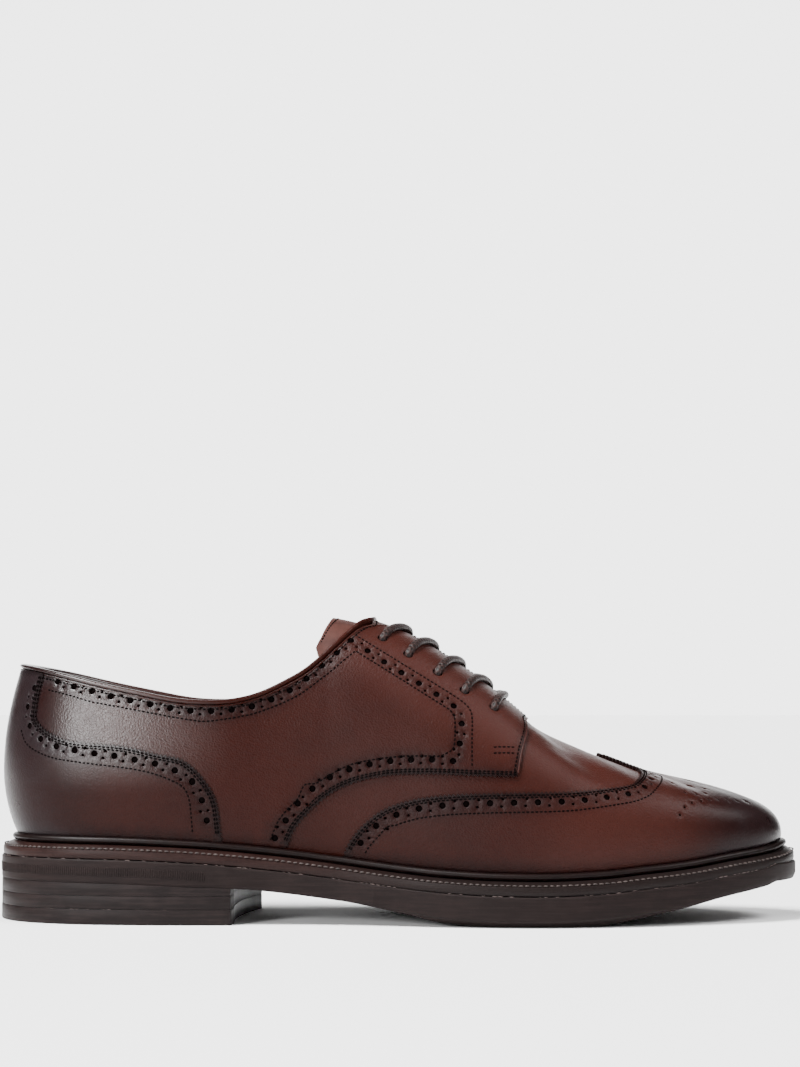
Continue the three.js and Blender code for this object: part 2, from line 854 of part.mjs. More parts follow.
// Sole pieces
const capOut = skinOut + capThickness;
const ledgeAt = (turn) => capOut + readColumn("ledge", rowOf(turn)) * weltLedge;
const soleOut = (turn) => ledgeAt(turn) + soleLip;
const wallAt = (height) => upperWall + gap + (footTuck * height) / footDrop;
const weltTop = -gap - beadHeight - gap;
const welt = ringAround([
  [wallAt(-randStack), -randStack],
  [ledgeAt, -randStack],
  [ledgeAt, -randStack + weltEdge],
  [skinOut + beadWidth, weltTop],
  [wallAt(weltTop), weltTop],
]);

const beadSection = [];
for (let side = 0; side < boundSides; side += 1) {
  const angle = (2 * Math.PI * (side + 0.5)) / boundSides;
  const out = skinOut + beadWidth / 2 + (beadWidth / 2) * Math.cos(angle);
  beadSection.push([out, -gap - beadHeight / 2 + (beadHeight / 2) * Math.sin(angle)]);
}
const rand = ringAround(beadSection);

const treadShare = (turn) => readTable(bottom, "tread", readColumn("along", rowOf(turn)));
const outsole = plate([
  { out: (turn) => soleOut(turn) - treadInset * treadShare(turn), level: undersideLevel },
  { out: soleOut, level: (x) => Math.max(edgeLevel(x), undersideLevel(x) + leastStep) },
  { out: soleOut, level: (x) => beadLevel(x) - soleTopDrop },
]);

const insoleOut = () => -footTuck - gap;
const insole = plate([
  { out: insoleOut, level: (x) => beadLevel(x) - footDrop },
  { out: insoleOut, level: (x) => beadLevel(x) - footDrop + insoleThickness },
]);

// Heel: flat lifts, the upper one cut to the slope of the sole
const breastX = stationX(0) - capOut - weltLedge + heelLength;
const breastCutter = topCutter(breastOutline(), -far, far);

function breastOutline() {
  const half = ballWidth;
  const points = [place(far, -half), place(far, half)];
  for (let step = 0; step <= roundSteps; step += 1) {
    const across = 1 - (2 * step) / roundSteps;
    const hollow = breastHollow * Math.max(0, 1 - (across / breastRound) ** 2);
    points.push(place(breastX + across * breastSkew - hollow, across * half));
  }
  return points;
}

function heelLift(low, high, inset) {
  const flat = (height) => () => height;
  const out = (turn) => soleOut(turn) - inset;
  const level = typeof high === "function" ? high : flat(high);
  const solid = solidOf(plate([{ out, level: flat(low) }, { out, level }]));
  return geometryOf(solid.subtract(breastCutter));
}

const heelTop = (x) => Math.max(edgeLevel(x) - gap, topLiftHeight + liftHeight + gap);

function finish(color, roughness) {
  return new THREE.MeshStandardMaterial({ color, roughness, metalness: 0 });
}

const finishes = {
  burnished: finish(0x5f3128, 0.35),
  dark: finish(0x3d2327, 0.3),
  lining: finish(0xb08c68, 0.8),
  rubber: finish(0x33292a, 0.55),
  welting: finish(0x4a332b, 0.5),
  cord: finish(0x2c2224, 0.6),
};

const group = new THREE.Group();

function addPiece(name, geometry, material) {
  const mesh = new THREE.Mesh(geometry, material);
  mesh.name = name;
  group.add(mesh);
}

addPiece("upper", geometryOf(upper), finishes.burnished);
addPiece("wing_cap", geometryOf(wingCap), finishes.dark);
addPiece("heel_counter", geometryOf(counter), finishes.dark);
addPiece("quarter_lateral", geometryOf(quarters.intersect(halfSpace(-1))), finishes.burnished);
addPiece("quarter_medial", geometryOf(quarters.intersect(halfSpace(1))), finishes.burnished);
addPiece("tongue", geometryOf(tongue), finishes.burnished);
addPiece("topline_binding", tube(bindingPath(), bindingRadius, bindingSteps, boundSides), finishes.dark);
addPiece("laces", geometryOf(laces), finishes.cord);
addPiece("insole", insole, finishes.lining);
addPiece("rand", rand, finishes.welting);
addPiece("welt", welt, finishes.welting);
addPiece("outsole", outsole, finishes.rubber);
addPiece("heel_lift_upper", heelLift(topLiftHeight + liftHeight, heelTop, 0), finishes.rubber);
addPiece("heel_lift_lower", heelLift(topLiftHeight, topLiftHeight + liftHeight, liftStep), finishes.rubber);
addPiece("top_lift", heelLift(0, topLiftHeight, 0), finishes.rubber);

const bounds = new THREE.Box3().setFromObject(group);
const middle = bounds.getCenter(new THREE.Vector3());
group.position.set(-middle.x, -middle.y, -bounds.min.z);

export default group;
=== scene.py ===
import math

import bmesh
import bpy
import numpy as np
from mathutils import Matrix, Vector
from mathutils.geometry import delaunay_2d_cdt
from mathutils.kdtree import KDTree


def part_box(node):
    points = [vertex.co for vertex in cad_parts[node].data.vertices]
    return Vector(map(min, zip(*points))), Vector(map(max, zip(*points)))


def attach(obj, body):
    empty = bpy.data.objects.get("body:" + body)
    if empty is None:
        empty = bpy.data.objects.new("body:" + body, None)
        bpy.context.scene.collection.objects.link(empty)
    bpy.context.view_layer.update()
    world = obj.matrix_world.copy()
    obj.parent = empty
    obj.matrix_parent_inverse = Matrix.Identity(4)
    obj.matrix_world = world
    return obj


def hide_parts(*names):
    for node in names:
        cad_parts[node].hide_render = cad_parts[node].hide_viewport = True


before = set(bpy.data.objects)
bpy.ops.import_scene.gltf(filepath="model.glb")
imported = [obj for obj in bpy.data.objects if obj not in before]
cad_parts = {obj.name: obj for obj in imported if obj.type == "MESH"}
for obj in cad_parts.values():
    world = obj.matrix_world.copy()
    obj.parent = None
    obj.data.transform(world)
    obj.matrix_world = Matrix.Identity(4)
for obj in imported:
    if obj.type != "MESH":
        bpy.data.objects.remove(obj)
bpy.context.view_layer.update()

# All shoe sizes are millimetres; metres start where a mesh is made
metre = 0.001


# The last, the form that every leather piece follows

last = {
    "length": 288.7, "ballWidth": 82.0, "instepRise": 86.0,
    "heelPitch": 13.1, "toeSpring": 10.5, "footTuck": 3.0,
}

sole = {
    "gap": 0.3, "beadHeight": 2.7, "beadWidth": 3.4, "weltSlope": 1.5, "weltEdge": 3.6,
    "weltLedge": 5.2, "edge": 9.0, "lip": 0.6, "treadDepth": 2.4, "treadInset": 3.4,
}

wall = {"upper": 2.0, "skin": 2.3, "cap": 1.4}


def tableOf(names, rows):
    values = np.array(rows, dtype=float)
    return {name: values[:, index] for index, name in enumerate(names.split())}


# One row for each column of the last, from the middle of the heel to the tip of the toe
columns = tableOf(
    "along lateral medial swing bellyOut bellyRise topAlong topHalf topRise steep shoulder crown ledge",
    [
        [0.0, 0, 0, 0, 0.061, 0.286, 0.034, 0, 0.995, 70, 0.36, 0.3, 1.06],
        [0.0104, 0.134, 0.134, 0, 0.056, 0.286, 0.041, 0.1, 0.995, 70, 0.36, 0.3, 1.04],
        [0.036, 0.239, 0.239, 0, 0.046, 0.286, 0.064, 0.18, 0.995, 70, 0.36, 0.3, 1.0],
        [0.0845, 0.321, 0.317, 0, 0.039, 0.286, 0.109, 0.25, 0.995, 70, 0.36, 0.3, 0.95],
        [0.161, 0.366, 0.351, 0, 0.037, 0.286, 0.175, 0.285, 1.0, 70, 0.36, 0.3, 0.92],
        [0.244, 0.376, 0.337, 0, 0.032, 0.256, 0.247, 0.285, 1.015, 68, 0.36, 0.3, 0.92],
        [0.327, 0.371, 0.3, 0, 0.027, 0.232, 0.313, 0.2, 1.031, 55, 0.38, 0.36, 0.92],
        [0.41, 0.383, 0.285, 0, 0.024, 0.209, 0.375, 0, 1.04, 12, 0.46, 0.44, 0.95],
        [0.493, 0.429, 0.32, 0, 0.022, 0.163, 0.434, 0, 1.035, 0, 0.5, 0.42, 1.0],
        [0.569, 0.485, 0.383, 0.002, 0.02, 0.14, 0.5, 0, 0.99, 0, 0.52, 0.42, 1.08],
        [0.646, 0.522, 0.444, 0.006, 0.02, 0.128, 0.563, 0, 0.886, 0, 0.52, 0.45, 1.12],
        [0.715, 0.524, 0.476, 0.011, 0.02, 0.116, 0.621, 0, 0.749, 0, 0.52, 0.5, 1.12],
        [0.781, 0.497, 0.459, 0.017, 0.017, 0.105, 0.677, 0, 0.597, 0, 0.55, 0.55, 1.08],
        [0.84, 0.449, 0.408, 0.022, 0.015, 0.093, 0.729, 0, 0.506, 0, 0.58, 0.58, 1.04],
        [0.892, 0.382, 0.342, 0.026, 0.012, 0.076, 0.774, 0, 0.435, 0, 0.6, 0.6, 1.0],
        [0.938, 0.298, 0.266, 0.028, 0.01, 0.058, 0.808, 0, 0.378, 0, 0.58, 0.61, 0.98],
        [0.973, 0.204, 0.184, 0.029, 0.007, 0.041, 0.836, 0, 0.342, 0, 0.55, 0.62, 0.96],
        [0.993, 0.106, 0.096, 0.03, 0.004, 0.022, 0.857, 0, 0.319, 0, 0.48, 0.64, 0.95],
        [1.0, 0, 0, 0.03, 0.003, 0.018, 0.867, 0, 0.307, 0, 0.46, 0.64, 0.95],
    ],
)
lastColumn = len(columns["along"]) - 1
crestColumn = 7

bottom = tableOf("along pitch spring edge tread", [
    [0, 1, 0, 1, 0], [0.109, 0.985, 0, 1, 0], [0.216, 0.9, 0, 1, 0], [0.32, 0.71, 0, 0.86, 0.02],
    [0.424, 0.435, 0, 0.85, 0.08], [0.5, 0.22, 0, 0.94, 0.3], [0.56, 0.09, 0, 1, 0.95],
    [0.628, 0.015, 0, 1, 1.12], [0.68, 0, 0, 1, 1.12], [0.756, 0, 0.076, 1, 1.1],
    [0.812, 0, 0.23, 0.97, 0.7], [0.864, 0, 0.37, 0.91, 0.3], [0.923, 0, 0.62, 0.83, 0.06],
    [0.982, 0, 0.857, 0.78, 0], [1, 0, 1, 0.78, 0],
])

# Lines seen from the side: share of the last's length, share of the instep's rise
topline = [
    (-0.03, 0.76), (0.001, 0.748), (0.05, 0.716), (0.107, 0.672), (0.16, 0.639),
    (0.213, 0.614), (0.259, 0.617), (0.291, 0.639), (0.317, 0.673), (0.343, 0.723),
    (0.369, 0.782), (0.395, 0.864), (0.428, 0.982), (0.444, 1.027), (0.46, 1.05),
]
quarterLine = [
    (0.353, 0.006), (0.363, 0.091), (0.382, 0.173), (0.407, 0.257), (0.435, 0.317),
    (0.467, 0.36), (0.498, 0.387), (0.545, 0.407), (0.592, 0.412), (0.651, 0.413),
]
facingFront = [
    (0.651, 0.413), (0.658, 0.526), (0.666, 0.612), (0.666, 0.653), (0.66, 0.696), (0.651, 0.73),
]
counterLine = [
    (0.036, 0.75), (0.032, 0.703), (0.025, 0.604), (0.022, 0.516), (0.026, 0.491),
    (0.039, 0.451), (0.072, 0.41), (0.14, 0.393), (0.186, 0.364), (0.212, 0.351),
    (0.227, 0.327), (0.242, 0.28), (0.255, 0.223), (0.263, 0.155), (0.269, -0.02),
]
wingLine = [
    (0.424, -0.02), (0.435, 0.065), (0.454, 0.152), (0.479, 0.226), (0.516, 0.283),
    (0.56, 0.318), (0.607, 0.336), (0.654, 0.344), (0.725, 0.346), (0.788, 0.35), (0.806, 0.357),
]


def throughFour(padded, index, part):
    a, b, c, d = (padded[index + step] for step in range(4))
    bend = 2 * a - 5 * b + 4 * c - d
    return b + 0.5 * part * (c - a + part * (bend + part * (3 * (b - c) + d - a)))


# An odd column changes its sign where it is carried on past the heel and the toe
def readColumn(name, row, odd=False):
    values = columns[name]
    sign = -1.0 if odd else 1.0
    padded = np.concatenate([[sign * values[1]], values, [sign * values[-2]]])
    index = np.clip(np.floor(row).astype(int), 0, lastColumn - 1)
    return throughFour(padded, index, row - index)


def readTable(table, name, along):
    xs, ys = table["along"], table[name]
    held = np.clip(along, xs[0], xs[-1])
    index = np.clip(np.searchsorted(xs, held, side="left") - 1, 0, len(xs) - 2)
    rise = np.diff(ys) / np.diff(xs)
    left, right = np.concatenate([[0], rise]), np.concatenate([rise, [0]])
    same = left * right > 0
    slope = np.where(same, 2 * left * right / np.where(same, left + right, 1), 0)
    span = xs[index + 1] - xs[index]
    part = (held - xs[index]) / span
    square, cube = part ** 2, part ** 3
    return (ys[index] * (2 * cube - 3 * square + 1) + ys[index + 1] * (3 * square - 2 * cube)
            + slope[index] * span * (cube - 2 * square + part) + slope[index + 1] * span * (cube - square))


heelEnd = -last["length"] / 2
randStack = 2 * sole["gap"] + sole["beadHeight"] + sole["weltSlope"] + sole["weltEdge"]
soleTopDrop = randStack + sole["gap"]
forefootHeight = soleTopDrop + sole["edge"] + sole["treadDepth"]


def stationX(along):
    return heelEnd + np.asarray(along) * last["length"]


def readBottom(name, x):
    return readTable(bottom, name, (x - heelEnd) / last["length"])


def beadLevel(x):
    pitch = readBottom("pitch", x) * last["heelPitch"]
    return forefootHeight + pitch + readBottom("spring", x) * last["toeSpring"]


def soleTop(x):
    return beadLevel(x) - soleTopDrop


def edgeLevel(x):
    return soleTop(x) - readBottom("edge", x) * sole["edge"]


def undersideLevel(x):
    return np.maximum(0, edgeLevel(x) - readBottom("tread", x) * sole["treadDepth"])


# turn runs once around the shoe from the heel, outer side first, and meets the toe at 0.5

def rowOf(turn):
    turn = turn - np.floor(turn)
    return lastColumn * np.where(turn < 0.5, 2 * turn, 2 - 2 * turn)


def sideOf(turn):
    turn = turn - np.floor(turn)
    return np.where(turn < 0.5, -1.0, 1.0)


def turnOf(side, row):
    return row / lastColumn / 2 if side < 0 else 1 - row / lastColumn / 2


def planPoint(turn):
    row, side = rowOf(turn), sideOf(turn)
    half = np.where(side < 0, readColumn("lateral", row, True), readColumn("medial", row, True))
    y = (readColumn("swing", row) + side * half) * last["ballWidth"]
    return np.stack([stationX(readColumn("along", row)), y], axis=-1)


def planNormal(turn):
    step = 0.002
    way = planPoint(turn + step) - planPoint(turn - step)
    way = way / np.linalg.norm(way, axis=-1, keepdims=True)
    return np.stack([way[..., 1], -way[..., 0]], axis=-1)


def outlinePoint(turn, out):
    return planPoint(turn) + planNormal(turn) * np.asarray(out)[..., None]


def crestPoint(turn):
    row = rowOf(turn)
    x = stationX(readColumn("topAlong", row))
    half = np.where(row > crestColumn - 1e-6, 0, np.maximum(0, readColumn("topHalf", row, True)))
    y = (readColumn("swing", row) + sideOf(turn) * half) * last["ballWidth"]
    return np.stack([x, y, beadLevel(x) + readColumn("topRise", row) * last["instepRise"]], axis=-1)


def crestSlope(row):
    before = crestPoint(np.maximum(crestColumn, row - 0.25) / lastColumn / 2)
    after = crestPoint(np.minimum(lastColumn, row + 0.25) / lastColumn / 2 - 1e-9)
    return (after[..., 2] - before[..., 2]) / (after[..., 0] - before[..., 0])


def cubic(a, b, c, d, part):
    t = part[..., None]
    s = 1 - t
    return a * s ** 3 + b * 3 * s * s * t + c * 3 * s * t * t + d * t ** 3


def lifted(points, height):
    moved = points.copy()
    moved[..., 2] += height
    return moved


# level climbs one column: 0 foot, 1 bead, 2 widest point, 3 crest
def lastPoint(turn, level):
    turn, level = np.broadcast_arrays(np.asarray(turn, float), np.asarray(level, float))
    row = rowOf(turn)
    plan = planPoint(turn)
    normal = planNormal(turn)
    out = np.concatenate([normal, np.zeros_like(normal[..., :1])], axis=-1)
    bead = np.concatenate([plan, beadLevel(plan[..., 0])[..., None]], axis=-1)
    drop = np.clip(1 - level, 0, 1)
    foot = lifted(bead - out * (last["footTuck"] * drop)[..., None], -randStack * drop)
    rise = readColumn("bellyRise", row) * last["instepRise"]
    bulge = (readColumn("bellyOut", row) * last["ballWidth"])[..., None]
    belly = lifted(bead + out * bulge, rise)
    low = lifted(bead + out * bulge * 0.6, rise * 0.35)
    belt = cubic(bead, low, lifted(belly, -rise * 0.4), belly, np.clip(level - 1, 0, 1))
    crest = crestPoint(turn)
    outward = belly - crest
    climb = crest[..., 2] - belly[..., 2]
    outward[..., 2] = 0
    spread = np.linalg.norm(outward, axis=-1)
    outward = outward / spread[..., None]
    angle = np.radians(readColumn("steep", row))
    handle = readColumn("crown", row) * np.hypot(spread, climb)
    fall = np.where(row > crestColumn - 1e-6, crestSlope(row) * outward[..., 0] * np.cos(angle), 0)
    over = lifted(crest + outward * (handle * np.cos(angle))[..., None], handle * (fall - np.sin(angle)))
    full = lifted(belly, readColumn("shoulder", row) * climb)
    crown = cubic(belly, full, over, crest, np.clip(level - 2, 0, 1))
    return np.where((level < 1)[..., None], foot, np.where((level < 2)[..., None], belt, crown))


def unit(vectors):
    return vectors / np.maximum(np.linalg.norm(vectors, axis=-1, keepdims=True), 1e-12)


def lastNormal(turn, level):
    turn, level = np.broadcast_arrays(np.asarray(turn, float), np.asarray(level, float))
    plan = planNormal(turn)
    flat = np.concatenate([plan, np.zeros_like(plan[..., :1])], axis=-1)
    reach, climb = 0.003, 0.02
    middle = np.clip(level, 1 + climb, 3 - climb)

    def slopeNormal(here):
        around = lastPoint(here + reach, middle) - lastPoint(here - reach, middle)
        return unit(np.cross(around, lastPoint(here, middle + climb) - lastPoint(here, middle - climb)))

    normal = slopeNormal(turn)
    onCrest = (level > 3 - 1e-6) & (rowOf(turn) > crestColumn - 1e-6)
    normal = np.where(onCrest[..., None], unit(normal + slopeNormal(1 - turn)), normal)
    fade = np.clip(2 * (level - 1), 0, 1)[..., None]
    return unit(flat * (1 - fade) + normal * fade)


# The form is worked out once on a fine grid and read from it between the grid's points
grid = {"turns": 1080, "levels": 270}


def formGrid():
    turns, levels = np.meshgrid(
        np.linspace(0, 1, grid["turns"] + 1), np.linspace(0, 3, grid["levels"] + 1), indexing="ij",
    )
    return lastPoint(turns, levels), lastNormal(turns, levels)


placeGrid, normalGrid = formGrid()


def readGrid(values, turn, level):
    u = (turn - np.floor(turn)) * grid["turns"]
    v = np.clip(level, 0, 3) / 3 * grid["levels"]
    i = np.minimum(u.astype(int), grid["turns"] - 1)
    j = np.minimum(v.astype(int), grid["levels"] - 1)
    a, b = (u - i)[..., None], (v - j)[..., None]
    low = values[i, j] * (1 - a) + values[i + 1, j] * a
    high = values[i, j + 1] * (1 - a) + values[i + 1, j + 1] * a
    return low * (1 - b) + high * b


def normalAt(turn, level):
    return unit(readGrid(normalGrid, *np.broadcast_arrays(np.asarray(turn, float), np.asarray(level, float))))


def formPoint(turn, level, out):
    turn, level = np.broadcast_arrays(np.asarray(turn, float), np.asarray(level, float))
    return readGrid(placeGrid, turn, level) + normalAt(turn, level) * np.asarray(out, float)[..., None]


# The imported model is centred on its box, so the same shift is read from its sole
def centreShift():
    edge = outlinePoint(np.linspace(0, 1, 721), soleOut(np.linspace(0, 1, 721)))
    low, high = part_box("outsole")
    middle = (np.array(low) + np.array(high))[:2] / 2 / metre
    return np.array([*(middle - (edge.min(0) + edge.max(0)) / 2), 0.0])


def ledgeAt(turn):
    return wall["skin"] + wall["cap"] + readColumn("ledge", rowOf(turn)) * sole["weltLedge"]


def soleOut(turn):
    return ledgeAt(turn) + sole["lip"]


shift = centreShift()
print("last ready")


# Places on the surface are pairs of turn and level

def jacobian(spots, out):
    turn, level = spots[..., 0], spots[..., 1]
    stepTurn, stepLevel = 5e-4, 5e-3
    alongTurn = formPoint(turn + stepTurn, level, out) - formPoint(turn - stepTurn, level, out)
    above = np.minimum(level + stepLevel, 3)
    below = above - 2 * stepLevel
    upLevel = formPoint(turn, above, out) - formPoint(turn, below, out)
    return alongTurn / (2 * stepTurn), upLevel / (2 * stepLevel)


def moveOnSurface(spots, vectors, out, steps=3):
    moved = spots.copy()
    for _ in range(steps):
        first, second = jacobian(moved, out)
        a, b, c = (first * first).sum(-1), (first * second).sum(-1), (second * second).sum(-1)
        p, q = (first * vectors).sum(-1) / steps, (second * vectors).sum(-1) / steps
        det = np.maximum(a * c - b * b, 1e-6)
        moved[..., 0] += (p * c - q * b) / det
        moved[..., 1] += (q * a - p * b) / det
        moved[..., 1] = np.minimum(moved[..., 1], 3)
    return moved


def lookupGrid(side):
    rows = np.linspace(0.02, lastColumn - 0.02, 240)
    turns, levels = np.meshgrid(turnOf(side, rows), np.linspace(0.9, 3, 90), indexing="ij")
    points = formPoint(turns, levels, wall["skin"])
    return turns.ravel(), levels.ravel(), points.reshape(-1, 3)


lookups = {side: lookupGrid(side) for side in (-1, 1)}


# Finds the spot on one side that is seen at the given pair of coordinates
def spotsSeen(side, targets, out, axes=(0, 2), lowest=0.5):
    turns, levels, points = lookups[side]
    targets = np.asarray(targets, float)
    near = np.array([np.argmin(((points[:, axes] - target) ** 2).sum(1)) for target in targets])
    spots = np.stack([turns[near], levels[near]], axis=-1)
    least = 200
    for _ in range(12):
        here = formPoint(spots[:, 0], spots[:, 1], out)[:, axes]
        first, second = (part[:, axes] for part in jacobian(spots, out))
        error = targets - here
        det = first[:, 0] * second[:, 1] - first[:, 1] * second[:, 0]
        det = np.where(np.abs(det) < least, least * np.where(det < 0, -1, 1), det)
        spots[:, 0] += np.clip((error[:, 0] * second[:, 1] - error[:, 1] * second[:, 0]) / det, -0.01, 0.01)
        spots[:, 1] += np.clip((first[:, 0] * error[:, 1] - first[:, 1] * error[:, 0]) / det, -0.1, 0.1)
        spots[:, 1] = np.clip(spots[:, 1], lowest, 3)
    return spots


def splineThrough(points, count):
    points = np.asarray(points, float)
    padded = np.vstack([2 * points[0] - points[1], points, 2 * points[-1] - points[-2]])
    t = np.linspace(0, len(points) - 1, count)
    index = np.minimum(t.astype(int), len(points) - 2)
    return throughFour(padded, index, (t - index)[:, None])


def sideLine(rows, count, shiftBy=0.0):
    x = stationX([row[0] for row in rows])
    z = beadLevel(x) + np.array([row[1] for row in rows]) * last["instepRise"]
    line = splineThrough(np.stack([x, z], axis=-1), count)
    way = unit(np.gradient(line, axis=0))
    return line + shiftBy * np.stack([-way[:, 1], way[:, 0]], axis=-1)


def evenly(points, pitch, *others, count=None):
    lengths = np.concatenate([[0], np.cumsum(np.linalg.norm(np.diff(points, axis=0), axis=1))])
    count = count or max(2, int(round(lengths[-1] / pitch)) + 1)
    marks = np.linspace(0, lengths[-1], count)
    return [np.stack([np.interp(marks, lengths, values[:, i]) for i in range(values.shape[1])], axis=-1)
            for values in (points, *others)]


def evenSpots(spots, pitch, out):
    return evenly(formPoint(spots[:, 0], spots[:, 1], out), pitch, spots)[1]


def frameAlong(spots, out):
    points = formPoint(spots[:, 0], spots[:, 1], out)
    way = unit(np.gradient(points, axis=0))
    up = normalAt(spots[:, 0], spots[:, 1])
    return points, way, unit(np.cross(up, way)), up


# A distance above 0 moves a line to its left, seen from outside with the line running ahead
def shiftedLine(spots, distance, out):
    _, _, leftward, _ = frameAlong(spots, out)
    return moveOnSurface(spots, leftward * np.asarray(distance, float).reshape(-1, 1), out)


def smoothed(spots, step):
    kept = np.vstack([spots[:-1:step], spots[-1:]])
    return splineThrough(kept, len(spots))


pinking = {"pitch": 1.65, "depth": 0.8}


def pinked(spots, out):
    even = evenSpots(spots, pinking["pitch"] / 2, out)
    wave = pinking["depth"] / 2 * np.cos(np.pi * np.arange(len(even)))
    wave[0] = wave[-1] = 0
    return shiftedLine(even, wave, out)


def circleSpots(centres, radius, out, sides):
    first, _ = jacobian(centres, out)
    up = normalAt(centres[:, 0], centres[:, 1])
    across = unit(first)
    aside = np.cross(up, across)
    rings = []
    for centre, a, b in zip(centres, across, aside):
        angles = np.linspace(0, 2 * math.pi, sides, endpoint=False)[:, None]
        vectors = radius * (np.cos(angles) * a + np.sin(angles) * b)
        rings.append(moveOnSurface(np.repeat(centre[None], sides, 0), vectors, out, steps=2))
    return rings


def mirrored(spots):
    flipped = spots.copy()
    flipped[:, 0] = 1 - flipped[:, 0]
    return flipped


def onSide(side, spots):
    return spots if side < 0 else mirrored(spots)


# Flat layout in which panels are cut: turn and level in rough millimetres
layout = np.array([640.0, 45.0])


def insideOf(points, polygon):
    x, y = points[:, 0], points[:, 1]
    inside = np.zeros(len(points), bool)
    ends = np.roll(polygon, -1, axis=0)
    for (x1, y1), (x2, y2) in zip(polygon, ends):
        if y1 == y2:
            continue
        crosses = (y1 > y) != (y2 > y)
        inside ^= crosses & (x < (x2 - x1) * (y - y1) / (y2 - y1) + x1)
    return inside


def distanceTo(points, borders):
    tree = KDTree(len(borders))
    for index, border in enumerate(borders):
        tree.insert(border, index)
    tree.balance()
    return np.array([tree.find(point)[2] for point in points])


# Staggered rows of spots, an even spacing apart, over the box around a polygon
def gridSpots(polygon, out, spacing):
    low, high = polygon.min(0), polygon.max(0)
    spots = []
    turns = np.linspace(low[0], high[0], 400)
    levels = np.linspace(low[1], high[1], 200)
    columnTurns, columnLevels = np.meshgrid(turns[::40], levels, indexing="ij")
    climbs = np.linalg.norm(np.diff(formPoint(columnTurns, columnLevels, out), axis=1), axis=2)
    longest = climbs[climbs.sum(1).argmax()]
    total = np.concatenate([[0], np.cumsum(longest)])
    lineLevels = np.interp(np.arange(spacing / 2, total[-1], spacing), total, levels)
    for index, level in enumerate(lineLevels):
        points = formPoint(turns, level, out)
        length = np.concatenate([[0], np.cumsum(np.linalg.norm(np.diff(points, axis=0), axis=1))])
        marks = np.arange(spacing * (0.25 + 0.5 * (index % 2)), length[-1], spacing)
        spots.append(np.stack([np.interp(marks, length, turns), np.full(len(marks), level)], axis=-1))
    return np.concatenate(spots)


def outsideHoles(points, keep, holes):
    for hole in holes:
        low, high = hole.min(0) - 0.5, hole.max(0) + 0.5
        nearby = np.where(((points > low) & (points < high)).all(1))[0]
        if len(nearby):
            keep[nearby] &= ~insideOf(points[nearby], hole)
    return keep


# Cuts one panel: an outline with holes, filled with triangles that lie on the surface
def cutPanel(outline, holes, out, spacing, softRings):
    loops = [outline, *holes]
    flatLoops = [loop * layout for loop in loops]
    fixed = np.concatenate(flatLoops)
    edges, start = [], 0
    for loop in loops:
        count = len(loop)
        edges += [(start + i, start + (i + 1) % count) for i in range(count)]
        start += count
    free = gridSpots(outline, out, spacing)
    free = free[insideOf(free * layout, flatLoops[0])]
    borders = formPoint(*(fixed / layout).T, out)
    free = free[distanceTo(formPoint(*free.T, out), borders) > spacing * 0.45]
    free = np.concatenate([free, *softRings]) * layout
    keep = outsideHoles(free, insideOf(free, flatLoops[0]), flatLoops[1:])
    flat = np.concatenate([fixed, free[keep]])
    result = delaunay_2d_cdt([Vector(point) for point in flat], edges, [], 0, 1e-5, True)
    verts = np.array([tuple(point) for point in result[0]])
    faces = np.array([tuple(face) for face in result[2]])
    centres = verts[faces].mean(1)
    faces = faces[outsideHoles(centres, insideOf(centres, flatLoops[0]), flatLoops[1:])]
    corners = verts[faces]
    turned = np.cross(corners[:, 1] - corners[:, 0], corners[:, 2] - corners[:, 0]) < 0
    faces[turned] = faces[turned][:, ::-1]
    return verts / layout, faces


def weld(points, faces, tolerance=1e-3):
    keys = np.round(points / tolerance).astype(np.int64)
    _, first, back = np.unique(keys, axis=0, return_index=True, return_inverse=True)
    faces = back.reshape(-1)[faces]
    whole = (faces[:, 0] != faces[:, 1]) & (faces[:, 1] != faces[:, 2]) & (faces[:, 0] != faces[:, 2])
    return first, faces[whole]


def boundaryEdges(faces):
    edges = np.concatenate([faces[:, [0, 1]], faces[:, [1, 2]], faces[:, [2, 0]]])
    keys = {(a, b) for a, b in edges.tolist()}
    return [(a, b) for a, b in keys if (b, a) not in keys]


def newMesh(name, points, faces, sharpAngle=None):
    mesh = bpy.data.meshes.new(name)
    placed = (np.asarray(points) + shift) * metre
    mesh.from_pydata(placed.tolist(), [], [list(map(int, face)) for face in faces])
    mesh.update()
    mesh.polygons.foreach_set("use_smooth", [True] * len(mesh.polygons))
    if sharpAngle:
        mesh.set_sharp_from_angle(angle=math.radians(sharpAngle))
    piece = bpy.data.objects.new(name, mesh)
    bpy.context.scene.collection.objects.link(piece)
    return piece


def closeSeams(piece):
    work = bmesh.new()
    work.from_mesh(piece.data)
    bmesh.ops.remove_doubles(work, verts=work.verts, dist=1e-7)
    bmesh.ops.recalc_face_normals(work, faces=work.faces)
    work.to_mesh(piece.data)
    work.free()


def paintAttribute(piece, name, values):
    layer = piece.data.attributes.new(name, "FLOAT", "POINT")
    layer.data.foreach_set("value", np.asarray(values, float))


# A leather panel with an outer face, an inner face and eased cut edges between them
def leatherPanel(name, spots, faces, outerOut, innerOut, relief, easing):
    base = formPoint(*spots.T, outerOut)
    first, faces = weld(base, faces)
    spots = spots[first]
    rims = boundaryEdges(faces)
    border = np.zeros(len(spots), bool)
    border[np.array(rims).ravel()] = True
    out = np.full(len(spots), float(outerOut))
    if relief is not None:
        out += relief(base[first])
    out[border] -= easing
    outer = formPoint(*spots.T, out)
    inner = formPoint(*spots.T, innerOut)
    total = len(spots)
    allFaces = [list(face) for face in faces] + [[a + total for a in face[::-1]] for face in faces]
    allFaces += [[b, a, a + total, b + total] for a, b in rims]
    piece = newMesh(name, np.concatenate([outer, inner]), allFaces, sharpAngle=50)
    return piece, outer


